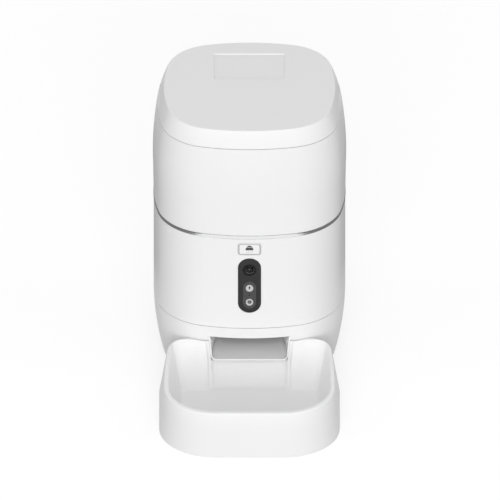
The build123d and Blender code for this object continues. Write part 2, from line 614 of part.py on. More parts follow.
with BuildPart() as base_housing:
    extrude(body_section(BASE_BOTTOM_Z, 0), amount=RING_BOTTOM_Z - BASE_BOTTOM_Z)
    extrude(body_section(BASE_BOTTOM_Z, WALL), amount=DECK_BOTTOM_Z - BASE_BOTTOM_Z, mode=Mode.SUBTRACT)
    # food opening in the deck, with a baffle over the chamber's outlet
    with BuildSketch(Plane((0, BODY_Y, DECK_BOTTOM_Z - 1))):
        Circle(THROAT_RADIUS + 0.5)
        add(front_sector(BAFFLE_INNER_RADIUS, THROAT_RADIUS + 1, BAFFLE_HALF_ANGLE), mode=Mode.SUBTRACT)
    extrude(amount=DECK_THICKNESS + 2, mode=Mode.SUBTRACT)
    # thick pad behind the controls
    with BuildSketch(front_plane(PAD_BACK, PAD_BOTTOM_Z)):
        Rectangle(2 * PAD_HALF_WIDTH, DECK_BOTTOM_Z - PAD_BOTTOM_Z + 1, align=(Align.CENTER, Align.MIN))
    extrude(amount=PAD_DEPTH - WALL / 2)
    # posts for the control board
    for post_z in BOARD_POST_Z:
        with BuildSketch(front_plane(CONTROL_BOARD_FRONT, post_z)):
            with Locations((-BOARD_POST_X, 0), (BOARD_POST_X, 0)):
                Circle(BOARD_POST_RADIUS)
        extrude(amount=PAD_BACK - CONTROL_BOARD_FRONT + 1)
    # seat of the dark panel and the openings behind it
    with BuildSketch(front_plane(PANEL_BACK, PANEL_CENTRE_Z)):
        SlotOverall(PANEL_HEIGHT + 0.4, PANEL_WIDTH + 0.4, rotation=90)
    extrude(amount=PANEL_THICKNESS + 3, mode=Mode.SUBTRACT)
    with BuildSketch(front_plane(PAD_BACK - 1, 0)):
        with Locations((0, LENS_Z)):
            Circle(WINDOW_RADIUS + 0.2)
        with Locations((0, RECORD_BUTTON_Z), (0, PLAYBACK_BUTTON_Z)):
            Circle(SMALL_BUTTON_HOLE)
        with Locations((0, MIC_HOLE_Z)):
            Circle(MIC_HOLE_RADIUS)
        with Locations((0, FEED_BUTTON_Z)):
            RectangleRounded(
                FEED_BUTTON_WIDTH + 2 * BUTTON_CLEARANCE,
                FEED_BUTTON_HEIGHT + 2 * BUTTON_CLEARANCE,
                FEED_BUTTON_CORNER + BUTTON_CLEARANCE,
            )
    extrude(amount=PAD_DEPTH + 4, mode=Mode.SUBTRACT)
    # rear: power inlet opening, speaker grille, board posts
    with BuildSketch(rear_plane(-BODY_HALF_DEPTH - 1, INLET_X, INLET_Z)):
        RectangleRounded(INLET_WIDTH + 0.5, INLET_HEIGHT + 0.5, 1)
    extrude(amount=-2 * INLET_DEPTH, mode=Mode.SUBTRACT)
    with BuildSketch(rear_plane(-BODY_HALF_DEPTH - 1, SPEAKER_X, SPEAKER_Z)):
        with GridLocations(0, GRILLE_PITCH, 1, GRILLE_SLOTS):
            SlotOverall(GRILLE_SLOT_LENGTH, GRILLE_SLOT_WIDTH)
    extrude(amount=-2 * INLET_DEPTH, mode=Mode.SUBTRACT)
    with BuildSketch(rear_plane(MAIN_BOARD_FORWARD, MAIN_BOARD_X, MAIN_BOARD_Z)):
        with GridLocations(2 * MAIN_POST_X, 2 * MAIN_POST_Z, 2, 2):
            Circle(BOARD_POST_RADIUS)
    extrude(until=Until.NEXT)
    add(speaker_boss.part)
    add(BASE_COLUMNS)
    # pilot holes for the long screws and the chamber's screws
    with BuildSketch(Plane((0, BODY_Y, SHELL_TOP_Z - 1))):
        with Locations(*COLUMN_PLACES):
            Circle(SCREW_RADIUS + SCREW_CLEARANCE)
    extrude(amount=30, mode=Mode.SUBTRACT)
    with BuildSketch(Plane((0, BODY_Y, DECK_BOTTOM_Z - 1))):
        with PolarLocations(CHAMBER_EAR_RADIUS, 4, 45):
            Circle(SCREW_RADIUS + SCREW_CLEARANCE)
    extrude(amount=DECK_THICKNESS, mode=Mode.SUBTRACT)
finish(base_housing, "base_housing")

# ---------------------------------------------------------------- lower shell and spout nose
SPOUT_TOP_FORWARD = front_at(SPOUT_TOP_HALF_WIDTH + SPOUT_WALL, SPOUT_TOP_Z)
SPOUT_PLANE_LEAN = math.atan2(SPOUT_TOP_FORWARD - SPOUT_LIP_FORWARD, SPOUT_TOP_Z - SPOUT_LIP_Z)
SPOUT_MOUTH_HEIGHT = (SPOUT_TOP_Z - SPOUT_LIP_Z) / math.cos(SPOUT_PLANE_LEAN)
SPOUT_KNEE_LEAN = math.atan2(SPOUT_KNEE_TOP_FORWARD - SPOUT_KNEE_FORWARD, SPOUT_TOP_Z - SPOUT_KNEE_Z)
SPOUT_KNEE_HEIGHT = (SPOUT_TOP_Z - SPOUT_KNEE_Z) / math.cos(SPOUT_KNEE_LEAN)
CHAMBER_UNDERSIDE_GAP = 0.3
LINER_INLET_Z = CHAMBER_FLOOR_Z - CHAMBER_UNDERSIDE_GAP
RAMP_FOOT_Z = SPOUT_KNEE_Z + SPOUT_FLOOR_SLOPE * (SPOUT_KNEE_FORWARD - LINER_FLARE_FORWARD)
RAMP_SLOPE = (LINER_INLET_Z - RAMP_FOOT_Z) / (LINER_FLARE_FORWARD - LINER_INLET_REAR)
FLARE_SLOPE = (SPOUT_KNEE_HALF_WIDTH - LINER_FLARE_HALF_WIDTH) / (SPOUT_KNEE_FORWARD - LINER_FLARE_FORWARD)


def leaning_plane(forward, z, lean):
    """A plane that faces the front and leans back towards its top (negative lean)."""
    facing = (0, -math.cos(lean), -math.sin(lean))
    return Plane((0, y_at(forward), z), x_dir=(1, 0, 0), z_dir=facing)


def floor_z(forward):
    """Height of the spout's floor at a place in front of the ramp's foot."""
    return SPOUT_KNEE_Z + SPOUT_FLOOR_SLOPE * (SPOUT_KNEE_FORWARD - forward)


def floor_half_width(forward):
    """Half width of the spout's floor, which flares towards the mouth."""
    return SPOUT_KNEE_HALF_WIDTH - FLARE_SLOPE * (SPOUT_KNEE_FORWARD - forward)


def channel_section(plane, bottom_half, top_half, height, corner=0, grow=0, grow_floor=0, grow_roof=0):
    """A four-sided section of the chute, local y from its floor to its roof, grown outward."""
    with BuildSketch(plane) as section_face:
        Polygon(
            (-bottom_half - grow, -grow_floor),
            (bottom_half + grow, -grow_floor),
            (top_half + grow, height + grow_roof),
            (-top_half - grow, height + grow_roof),
            align=None,
        )
        if corner > 0:
            fillet(section_face.vertices().group_by(Axis.Y)[0], corner + grow)
    return section_face.sketch


def nose_sections(grow):
    """Sections of the spout nose from its lip to its seam with the liner."""
    lip = leaning_plane(SPOUT_LIP_FORWARD, SPOUT_LIP_Z, SPOUT_PLANE_LEAN)
    knee = leaning_plane(SPOUT_KNEE_FORWARD, SPOUT_KNEE_Z, SPOUT_KNEE_LEAN)
    inner_z = floor_z(SPOUT_INNER_FORWARD)
    inner = front_plane(SPOUT_INNER_FORWARD, inner_z)
    inner_half_width = floor_half_width(SPOUT_INNER_FORWARD)
    inner_height = SPOUT_TOP_Z - inner_z
    top = SPOUT_TOP_HALF_WIDTH
    corner = SPOUT_CORNER_RADIUS
    return [
        channel_section(lip, SPOUT_LIP_HALF_WIDTH, top, SPOUT_MOUTH_HEIGHT, corner, grow, grow),
        channel_section(knee, SPOUT_KNEE_HALF_WIDTH, top, SPOUT_KNEE_HEIGHT, corner / 2, grow, grow),
        channel_section(inner, inner_half_width, top, inner_height, SPOUT_INNER_CORNER, grow, grow),
    ]


PLATE_TOP_Z = PLATE_BOTTOM_Z + PLATE_THICKNESS
LOWER_COLUMNS = [column_with_rib(x, y, PLATE_TOP_Z, PLATE_TOP_Z, SHELL_TOP_Z) for x, y in COLUMN_PLACES]
LOCATING_LIP_INSET = WALL + SLIDE_CLEARANCE
LOCATING_LIP_ROOT_Z = SHELL_TOP_Z - LOCATING_LIP_ROOT
LOCATING_LIP_TOP_Z = SHELL_TOP_Z + LOCATING_LIP_HEIGHT
SPOUT_BROW_SHARE = (SPOUT_BROW_Z - SPOUT_LIP_Z) / (SPOUT_TOP_Z - SPOUT_LIP_Z)
SPOUT_BROW_HALF_WIDTH = (
    SPOUT_LIP_HALF_WIDTH + (SPOUT_TOP_HALF_WIDTH - SPOUT_LIP_HALF_WIDTH) * SPOUT_BROW_SHARE
)
SPOUT_BROW = channel_section(
    front_plane(SPOUT_TOP_FORWARD - 1, SPOUT_BROW_Z),
    SPOUT_BROW_HALF_WIDTH,
    SPOUT_TOP_HALF_WIDTH,
    SPOUT_TOP_Z - SPOUT_BROW_Z,
)

# roof between the shell's wall and the liner
with BuildPart() as spout_roof:
    with BuildSketch(front_plane(SPOUT_INNER_FORWARD, SPOUT_TOP_Z)):
        Rectangle(2 * (SPOUT_TOP_HALF_WIDTH + SPOUT_WALL), WALL, align=(Align.CENTER, Align.MIN))
    extrude(amount=BODY_HALF_DEPTH - SPOUT_INNER_FORWARD)
    loft(body_sections(SPOUT_TOP_Z - 1, SPOUT_TOP_Z + 2 * WALL, WALL / 2), ruled=True, mode=Mode.INTERSECT)

# the room inside the shell, which goes round the spout
with BuildPart() as shell_hollow:
    loft(body_sections(SHELL_BOTTOM_Z - 1, LOCATING_LIP_ROOT_Z, WALL, 5), ruled=True)
    loft(body_sections(SHELL_TOP_Z - 8, SHELL_TOP_Z + 5, LOCATING_LIP_INSET + LOCATING_LIP_WALL), ruled=True)
    loft(nose_sections(SPOUT_WALL), ruled=True, mode=Mode.SUBTRACT)
    add(spout_roof.part, mode=Mode.SUBTRACT)

with BuildPart() as lower_shell:
    loft(body_sections(SHELL_BOTTOM_Z, SHELL_TOP_Z, 0, 4))
    loft(body_sections(LOCATING_LIP_ROOT_Z - 0.5, LOCATING_LIP_TOP_Z, LOCATING_LIP_INSET))
    loft(nose_sections(SPOUT_WALL), ruled=True)
    add(shell_hollow.part, mode=Mode.SUBTRACT)
    loft(nose_sections(0), ruled=True, mode=Mode.SUBTRACT)
    extrude(SPOUT_BROW, amount=SPOUT_LIP_FORWARD - SPOUT_TOP_FORWARD, mode=Mode.SUBTRACT)
    add(LOWER_COLUMNS)
    with BuildSketch(Plane((0, BODY_Y, 0))):
        with Locations(*COLUMN_PLACES):
            Circle(SCREW_RADIUS + SCREW_CLEARANCE)
    extrude(amount=LOWER_SEAM_Z + 2, mode=Mode.SUBTRACT)
finish(lower_shell, "lower_shell")


ROOF_SLOPE = (LINER_INLET_Z - SPOUT_TOP_Z) / (SPOUT_INNER_FORWARD - LINER_INLET_FRONT)


def roof_z(forward):
    """Height of the chute's roof at a place in front of the axis."""
    return SPOUT_TOP_Z + ROOF_SLOPE * (SPOUT_INNER_FORWARD - forward)


def wall_drop(slope, wall):
    """Upright thickness of a sloping wall."""
    return wall * math.hypot(1, slope)


def add_chute(wall, mode):
    """The chute's body in the current part: a flare at the mouth and a straight shaft above it."""
    floor = wall_drop(RAMP_SLOPE, wall)
    roof = wall_drop(ROOF_SLOPE, wall)
    mouth_z = floor_z(SPOUT_INNER_FORWARD)
    flare_half = LINER_FLARE_HALF_WIDTH
    flare_height = roof_z(LINER_FLARE_FORWARD) - RAMP_FOOT_Z
    mouth = channel_section(
        front_plane(SPOUT_INNER_FORWARD, mouth_z),
        floor_half_width(SPOUT_INNER_FORWARD),
        SPOUT_TOP_HALF_WIDTH,
        SPOUT_TOP_Z - mouth_z,
        grow=wall,
        grow_floor=wall_drop(SPOUT_FLOOR_SLOPE, wall),
        grow_roof=roof,
    )
    flare = channel_section(
        front_plane(LINER_FLARE_FORWARD, RAMP_FOOT_Z),
        flare_half,
        flare_half,
        flare_height,
        grow=wall,
        grow_floor=floor,
        grow_roof=roof,
    )
    loft([mouth, flare], ruled=True, mode=mode)
    # the shaft is a side profile, local x towards the rear and local y up
    with BuildSketch(Plane((0, BODY_Y, 0), x_dir=(0, 1, 0), z_dir=(1, 0, 0))) as shaft:
        Polygon(
            (-LINER_FLARE_FORWARD, RAMP_FOOT_Z - floor),
            (-LINER_FLARE_FORWARD, RAMP_FOOT_Z + flare_height + roof),
            (-LINER_INLET_FRONT - roof / ROOF_SLOPE, LINER_INLET_Z),
            (-LINER_INLET_REAR + floor / RAMP_SLOPE, LINER_INLET_Z),
            align=None,
        )
    extrude(shaft.sketch, amount=flare_half + wall, both=True, mode=mode)


with BuildPart() as spout_liner:
    add_chute(LINER_WALL, Mode.ADD)
    add_chute(0, Mode.SUBTRACT)
finish(spout_liner, "spout_liner")

# ---------------------------------------------------------------- front controls
PANEL_FRONT = PANEL_BACK + PANEL_THICKNESS
INLAY_HEIGHT = INLAY_TOP_Z - INLAY_BOTTOM_Z
INLAY_CENTRE_Z = (INLAY_TOP_Z + INLAY_BOTTOM_Z) / 2
INLAY_BACK = PANEL_FRONT - INLAY_THICKNESS
INLAY_GAP = 0.1
BUTTON_FLANGE_BACK = PAD_BACK - SLIDE_CLEARANCE - BUTTON_FLANGE_THICKNESS
SWITCH_FRONT = CONTROL_BOARD_FRONT + SWITCH_HEIGHT

with BuildPart() as camera_panel:
    with BuildSketch(front_plane(PANEL_BACK, PANEL_CENTRE_Z)):
        SlotOverall(PANEL_HEIGHT, PANEL_WIDTH, rotation=90)
    extrude(amount=PANEL_THICKNESS)
    chamfer(camera_panel.faces().sort_by(Axis.Y)[0].edges(), 0.4)
    with BuildSketch(front_plane(INLAY_BACK, INLAY_CENTRE_Z)):
        SlotOverall(INLAY_HEIGHT, INLAY_WIDTH, rotation=90)
    extrude(amount=2 * INLAY_THICKNESS, mode=Mode.SUBTRACT)
    with BuildSketch(front_plane(PANEL_BACK - 1, 0)):
        with Locations((0, LENS_Z)):
            Circle(LENS_BEZEL_RADIUS + INLAY_GAP)
        with Locations((0, RECORD_BUTTON_Z), (0, PLAYBACK_BUTTON_Z)):
            Circle(SMALL_BUTTON_HOLE)
        with Locations((0, MIC_HOLE_Z)):
            Circle(MIC_HOLE_RADIUS)
    extrude(amount=PANEL_THICKNESS + 2, mode=Mode.SUBTRACT)
finish(camera_panel, "camera_panel")

with BuildPart() as control_inlay:
    with BuildSketch(front_plane(INLAY_BACK, 0)):
        with Locations((0, INLAY_CENTRE_Z)):
            SlotOverall(INLAY_HEIGHT - 2 * INLAY_GAP, INLAY_WIDTH - 2 * INLAY_GAP, rotation=90)
        with Locations((0, RECORD_BUTTON_Z), (0, PLAYBACK_BUTTON_Z)):
            Circle(SMALL_BUTTON_HOLE, mode=Mode.SUBTRACT)
        with Locations((0, MIC_HOLE_Z)):
            Circle(MIC_HOLE_RADIUS, mode=Mode.SUBTRACT)
    extrude(amount=INLAY_THICKNESS)
finish(control_inlay, "control_inlay")

with BuildPart() as lens_bezel:
    with BuildSketch(front_plane(PANEL_BACK, LENS_Z)):
        Circle(LENS_BEZEL_RADIUS)
        Circle(WINDOW_RADIUS + INLAY_GAP, mode=Mode.SUBTRACT)
    extrude(amount=PANEL_THICKNESS + 0.2)
    chamfer(lens_bezel.faces().sort_by(Axis.Y)[0].edges(), 0.3)
finish(lens_bezel, "lens_bezel")

WINDOW_THICKNESS = 0.8
WINDOW_BACK = PANEL_FRONT - WINDOW_THICKNESS - 0.2
with BuildPart() as camera_window:
    with BuildSketch(front_plane(WINDOW_BACK, LENS_Z)):
        Circle(WINDOW_RADIUS)
    extrude(amount=WINDOW_THICKNESS)
finish(camera_window, "camera_window")

LENS_RADIUS = 3.6
LENS_DOME = 1.8
LENS_SEAT = PANEL_BACK - 1.0
LENS_SPHERE = (LENS_RADIUS**2 + LENS_DOME**2) / (2 * LENS_DOME)
LENS_HALF_WAY = math.asin(LENS_RADIUS / LENS_SPHERE) / 2
with BuildPart() as camera_lens:
    with BuildSketch(Plane.XY.offset(LENS_Z)):
        with BuildLine():
            Line((0, y_at(LENS_SEAT)), (0, y_at(LENS_SEAT + LENS_DOME)))
            ThreePointArc(
                (0, y_at(LENS_SEAT + LENS_DOME)),
                (
                    LENS_SPHERE * math.sin(LENS_HALF_WAY),
                    y_at(LENS_SEAT + LENS_DOME - LENS_SPHERE * (1 - math.cos(LENS_HALF_WAY))),
                ),
                (LENS_RADIUS, y_at(LENS_SEAT)),
            )
            Line((LENS_RADIUS, y_at(LENS_SEAT)), (0, y_at(LENS_SEAT)))
        make_face()
    revolve(axis=Axis((0, 0, LENS_Z), (0, 1, 0)))
finish(camera_lens, "camera_lens")

CAMERA_BARREL_RADIUS = 5.0
CAMERA_BASE_SIDE = 15.0
CAMERA_BASE_DEPTH = 4.0
with BuildPart() as camera_module:
    with BuildSketch(front_plane(CONTROL_BOARD_FRONT, LENS_Z)):
        RectangleRounded(CAMERA_BASE_SIDE, CAMERA_BASE_SIDE, 1)
    extrude(amount=CAMERA_BASE_DEPTH)
    with BuildSketch(front_plane(CONTROL_BOARD_FRONT, LENS_Z)):
        Circle(CAMERA_BARREL_RADIUS)
    extrude(amount=LENS_SEAT - CONTROL_BOARD_FRONT)
finish(camera_module, "camera_module")


def press_button(cap, flange, button_z, face_forward, travel, edge):
    """A cap through the wall, a flange that keeps it in and a stem that stops short of its switch."""
    stem_back = SWITCH_FRONT + travel + 0.1
    with BuildPart() as button:
        extrude(cap, amount=face_forward - BUTTON_FLANGE_BACK)
        chamfer(button.faces().sort_by(Axis.Y)[0].edges(), edge)
        extrude(flange, amount=BUTTON_FLANGE_THICKNESS)
        with BuildSketch(front_plane(stem_back, button_z)):
            Circle(1.8)
        extrude(amount=BUTTON_FLANGE_BACK - stem_back)
    return button


with BuildSketch(front_plane(BUTTON_FLANGE_BACK, FEED_BUTTON_Z)) as feed_cap:
    RectangleRounded(FEED_BUTTON_WIDTH, FEED_BUTTON_HEIGHT, FEED_BUTTON_CORNER)
with BuildSketch(front_plane(BUTTON_FLANGE_BACK, FEED_BUTTON_Z)) as feed_flange:
    Rectangle(FEED_BUTTON_WIDTH + 2 * BUTTON_FLANGE, FEED_BUTTON_HEIGHT - 1)
FEED_FACE = BODY_HALF_DEPTH + FEED_BUTTON_PROUD
feed_button = press_button(
    feed_cap.sketch, feed_flange.sketch, FEED_BUTTON_Z, FEED_FACE, FEED_BUTTON_TRAVEL, 0.6
)
finish(feed_button, "feed_button")

for label, button_z in (("record_button", RECORD_BUTTON_Z), ("playback_button", PLAYBACK_BUTTON_Z)):
    with BuildSketch(front_plane(BUTTON_FLANGE_BACK, button_z)) as small_cap:
        Circle(SMALL_BUTTON_RADIUS)
    with BuildSketch(front_plane(BUTTON_FLANGE_BACK, button_z)) as small_flange:
        Circle(SMALL_BUTTON_RADIUS + BUTTON_FLANGE)
    small_face = PANEL_FRONT + SMALL_BUTTON_PROUD
    small_button = press_button(
        small_cap.sketch, small_flange.sketch, button_z, small_face, SMALL_BUTTON_TRAVEL, 0.35
    )
    finish(small_button, label)

BOARD_MARGIN = 5.0
with BuildPart() as control_board:
    board_bottom = BOARD_POST_Z[0] - BOARD_MARGIN
    board_height = BOARD_POST_Z[1] - BOARD_POST_Z[0] + 2 * BOARD_MARGIN + 8
    with BuildSketch(front_plane(CONTROL_BOARD_FORWARD, board_bottom)):
        Rectangle(CONTROL_BOARD_WIDTH, board_height, align=(Align.CENTER, Align.MIN))
    extrude(amount=BOARD_THICKNESS)
    with BuildSketch(front_plane(CONTROL_BOARD_FRONT, 0)):
        with Locations((0, FEED_BUTTON_Z), (0, RECORD_BUTTON_Z), (0, PLAYBACK_BUTTON_Z)):
            Rectangle(SWITCH_SIDE, SWITCH_SIDE)
    extrude(amount=SWITCH_HEIGHT)
    with BuildSketch(front_plane(CONTROL_BOARD_FORWARD - 1, 0)):
        for post_z in BOARD_POST_Z:
            with Locations((-BOARD_POST_X, post_z), (BOARD_POST_X, post_z)):
                Circle(1.2)
    extrude(amount=BOARD_THICKNESS + 2, mode=Mode.SUBTRACT)
finish(control_board, "control_board")

# ---------------------------------------------------------------- metering chamber
PITCH_RADIUS = GEAR_MODULE * RING_GEAR_TEETH / 2
PINION_PITCH_RADIUS = GEAR_MODULE * PINION_TEETH / 2
PINION_FORWARD = -(PITCH_RADIUS + PINION_PITCH_RADIUS)
ADDENDUM = 0.87 * GEAR_MODULE
DEDENDUM = 1.1 * GEAR_MODULE
CHAMBER_INNER_FLOOR_Z = CHAMBER_FLOOR_Z + CHAMBER_WALL
GEAR_BOTTOM_Z = CHAMBER_INNER_FLOOR_Z + GEAR_FLOOR_GAP
GEAR_TOP_Z = GEAR_BOTTOM_Z + GEAR_HEIGHT
PINION_POCKET_RADIUS = PINION_PITCH_RADIUS + ADDENDUM + 1.5
PINION_POCKET_TOP_Z = GEAR_TOP_Z + 0.8
MOTOR_EAR_X = PINION_POCKET_RADIUS + CHAMBER_WALL + SCREW_HEAD_RADIUS + 0.4
MOTOR_EAR_RADIUS = 5.0
SHAFT_RADIUS = 2.0
BEARING_RADIUS = AXLE_RADIUS + RUNNING_CLEARANCE
BEARING_BOSS_RADIUS = 7.0
BEARING_BOSS_HEIGHT = 6.0

with BuildPart() as metering_chamber:
    with BuildSketch(Plane((0, BODY_Y, CHAMBER_FLOOR_Z))):
        Circle(CHAMBER_RADIUS + CHAMBER_WALL)
        with Locations((0, -PINION_FORWARD)):
            Circle(PINION_POCKET_RADIUS + CHAMBER_WALL)
            SlotCenterToCenter(2 * MOTOR_EAR_X, 2 * MOTOR_EAR_RADIUS)
    extrude(amount=CHAMBER_WALL)
    with BuildSketch(Plane((0, BODY_Y, CHAMBER_FLOOR_Z))):
        with Locations((0, -PINION_FORWARD)):
            Circle(PINION_POCKET_RADIUS + CHAMBER_WALL)
    extrude(amount=PINION_POCKET_TOP_Z + CHAMBER_WALL - CHAMBER_FLOOR_Z)
    with BuildSketch(Plane((0, BODY_Y, CHAMBER_FLOOR_Z))):
        Circle(CHAMBER_RADIUS + CHAMBER_WALL)
    extrude(amount=DECK_BOTTOM_Z - CHAMBER_FLOOR_Z)
    with BuildSketch(Plane((0, BODY_Y, DECK_BOTTOM_Z))):
        with PolarLocations(CHAMBER_EAR_RADIUS, 4, 45):
            Circle(6)
        with PolarLocations(CHAMBER_EAR_RADIUS - 5, 4, 45):
            Rectangle(10, 12)
    extrude(amount=-3)
    with BuildSketch(Plane((0, BODY_Y, CHAMBER_FLOOR_Z))):
        Circle(BEARING_BOSS_RADIUS)
    extrude(amount=-BEARING_BOSS_HEIGHT)
    with BuildSketch(Plane((0, BODY_Y, CHAMBER_INNER_FLOOR_Z))):
        Circle(CHAMBER_RADIUS)
    extrude(amount=DECK_BOTTOM_Z - CHAMBER_INNER_FLOOR_Z, mode=Mode.SUBTRACT)
    with BuildSketch(Plane((0, BODY_Y, CHAMBER_INNER_FLOOR_Z))):
        with Locations((0, -PINION_FORWARD)):
            Circle(PINION_POCKET_RADIUS)
    extrude(amount=PINION_POCKET_TOP_Z - CHAMBER_INNER_FLOOR_Z, mode=Mode.SUBTRACT)
    # outlet towards the chute, bearing, shaft and screw holes
    with BuildSketch(Plane((0, BODY_Y, CHAMBER_FLOOR_Z - BEARING_BOSS_HEIGHT - 1))):
        add(front_sector(OUTLET_INNER_RADIUS, OUTLET_OUTER_RADIUS, OUTLET_HALF_ANGLE))
        Circle(BEARING_RADIUS)
        with Locations((0, -PINION_FORWARD)):
            Circle(SHAFT_RADIUS + 1)
        with Locations((-MOTOR_EAR_X, -PINION_FORWARD), (MOTOR_EAR_X, -PINION_FORWARD)):
            Circle(SCREW_RADIUS + SCREW_CLEARANCE)
    extrude(amount=BEARING_BOSS_HEIGHT + CHAMBER_WALL + 2, mode=Mode.SUBTRACT)
    with BuildSketch(Plane((0, BODY_Y, DECK_BOTTOM_Z - 4))):
        with PolarLocations(CHAMBER_EAR_RADIUS, 4, 45):
            Circle(SCREW_RADIUS + SCREW_CLEARANCE)
    extrude(amount=5, mode=Mode.SUBTRACT)
finish(metering_chamber, "metering_chamber")


# ---------------------------------------------------------------- rotor and its gears
def gear_teeth(teeth, phase):
    """All teeth of a gear as one sketch: straight flanks, centred on the origin."""
    pitch_radius = GEAR_MODULE * teeth / 2
    lean = math.tan(math.radians(GEAR_FLANK_ANGLE))
    half_pitch_thickness = (math.pi * GEAR_MODULE / 2 - GEAR_BACKLASH) / 2
    tip = half_pitch_thickness - ADDENDUM * lean
    root = half_pitch_thickness + DEDENDUM * lean
    with BuildSketch(Plane.XY) as toothed:
        with PolarLocations(0, teeth, phase):
            Polygon(
                (pitch_radius - DEDENDUM - 0.3, -root),
                (pitch_radius + ADDENDUM, -tip),
                (pitch_radius + ADDENDUM, tip),
                (pitch_radius - DEDENDUM - 0.3, root),
                align=None,
            )
        Circle(pitch_radius - DEDENDUM)
    return toothed.sketch


RING_GEAR_INNER_RADIUS = PITCH_RADIUS - DEDENDUM - 2.5
ROTOR_TOP_Z = DECK_BOTTOM_Z - ROTOR_TOP_GAP
AXLE_BOTTOM_Z = CHAMBER_FLOOR_Z - BEARING_BOSS_HEIGHT - 2
AXLE_TOP_Z = ROTOR_TOP_Z - 6
STIRRER_HEIGHT = 9.0

with BuildPart() as rotor_gear:
    with BuildSketch(Plane((0, BODY_Y, GEAR_BOTTOM_Z))):
        add(gear_teeth(RING_GEAR_TEETH, 180 / RING_GEAR_TEETH))
        Circle(RING_GEAR_INNER_RADIUS, mode=Mode.SUBTRACT)
    extrude(amount=GEAR_HEIGHT)
finish(rotor_gear, "rotor_gear")

with BuildPart() as rotor:
    with BuildSketch(Plane((0, BODY_Y, GEAR_BOTTOM_Z))):
        Circle(ROTOR_HUB_RADIUS)
        with PolarLocations(RING_GEAR_INNER_RADIUS / 2, ROTOR_VANES, 30):
            Rectangle(RING_GEAR_INNER_RADIUS - 0.8, ROTOR_VANE_THICKNESS)
    extrude(amount=ROTOR_TOP_Z - GEAR_BOTTOM_Z)
    with BuildSketch(Plane((0, BODY_Y, GEAR_TOP_Z))):
        Circle(ROTOR_RADIUS)
        Circle(RING_GEAR_INNER_RADIUS, mode=Mode.SUBTRACT)
    extrude(amount=ROTOR_RIM_HEIGHT)
    with BuildSketch(Plane((0, BODY_Y, GEAR_TOP_Z))):
        with PolarLocations(ROTOR_RADIUS / 2, ROTOR_VANES, 30):
            Rectangle(ROTOR_RADIUS - 1, ROTOR_VANE_THICKNESS)
        Circle(ROTOR_RADIUS, mode=Mode.INTERSECT)
    extrude(amount=ROTOR_TOP_Z - GEAR_TOP_Z)
    # thrust collar on the chamber's floor, stirring cone with two fingers above the vanes
    with BuildSketch(Plane((0, BODY_Y, CHAMBER_INNER_FLOOR_Z))):
        Circle(AXLE_RADIUS + 2.5)
    extrude(amount=GEAR_FLOOR_GAP)
    with BuildSketch(Plane((0, BODY_Y, ROTOR_TOP_Z))):
        Circle(ROTOR_HUB_RADIUS)
    extrude(amount=STIRRER_HEIGHT, taper=30)
    with BuildSketch(Plane((0, BODY_Y, ROTOR_TOP_Z))):
        Rectangle(2 * ROTOR_HUB_RADIUS + 12, 3)
        Circle(ROTOR_HUB_RADIUS + 2, mode=Mode.INTERSECT)
    extrude(amount=STIRRER_HEIGHT - 2)
    with BuildSketch(Plane((0, BODY_Y, CHAMBER_INNER_FLOOR_Z))):
        Circle(AXLE_RADIUS + 0.01)
    extrude(amount=AXLE_TOP_Z - CHAMBER_INNER_FLOOR_Z, mode=Mode.SUBTRACT)
finish(rotor, "rotor")

with BuildPart() as rotor_axle:
    with BuildSketch(Plane((0, BODY_Y, AXLE_BOTTOM_Z))):
        Circle(AXLE_RADIUS)
    extrude(amount=AXLE_TOP_Z - AXLE_BOTTOM_Z)
finish(rotor_axle, "rotor_axle")

GEARBOX_TOP_Z = CHAMBER_FLOOR_Z
SHAFT_BOTTOM_Z = GEARBOX_TOP_Z - 12
with BuildPart() as motor_pinion:
    with BuildSketch(Plane((0, y_at(PINION_FORWARD), GEAR_BOTTOM_Z))):
        add(gear_teeth(PINION_TEETH, 0))
        Circle(SHAFT_RADIUS + 0.01, mode=Mode.SUBTRACT)
    extrude(amount=GEAR_HEIGHT - 0.3)
finish(motor_pinion, "motor_pinion")

with BuildPart() as motor_shaft:
    with BuildSketch(Plane((0, y_at(PINION_FORWARD), SHAFT_BOTTOM_Z))):
        Circle(SHAFT_RADIUS)
    extrude(amount=GEAR_TOP_Z - SHAFT_BOTTOM_Z)
finish(motor_shaft, "motor_shaft")

with BuildPart() as gear_motor:
    with BuildSketch(Plane((0, y_at(PINION_FORWARD), GEARBOX_TOP_Z))):
        Circle(GEARBOX_RADIUS)
    extrude(amount=-GEARBOX_HEIGHT)
    with BuildSketch(Plane((0, y_at(PINION_FORWARD), GEARBOX_TOP_Z))):
        SlotCenterToCenter(2 * MOTOR_EAR_X, 2 * MOTOR_EAR_RADIUS)
    extrude(amount=-3)
    with BuildSketch(Plane((0, y_at(PINION_FORWARD), GEARBOX_TOP_Z - GEARBOX_HEIGHT))):
        Circle(MOTOR_RADIUS)
    extrude(amount=-MOTOR_HEIGHT)
    with BuildSketch(Plane((0, y_at(PINION_FORWARD), GEARBOX_TOP_Z))):
        Circle(SHAFT_RADIUS + RUNNING_CLEARANCE)
    extrude(amount=SHAFT_BOTTOM_Z - GEARBOX_TOP_Z, mode=Mode.SUBTRACT)
    with BuildSketch(Plane((0, y_at(PINION_FORWARD), GEARBOX_TOP_Z))):
        with Locations((-MOTOR_EAR_X, 0), (MOTOR_EAR_X, 0)):
            Circle(SCREW_RADIUS + SCREW_CLEARANCE)
    extrude(amount=-4, mode=Mode.SUBTRACT)
finish(gear_motor, "gear_motor")

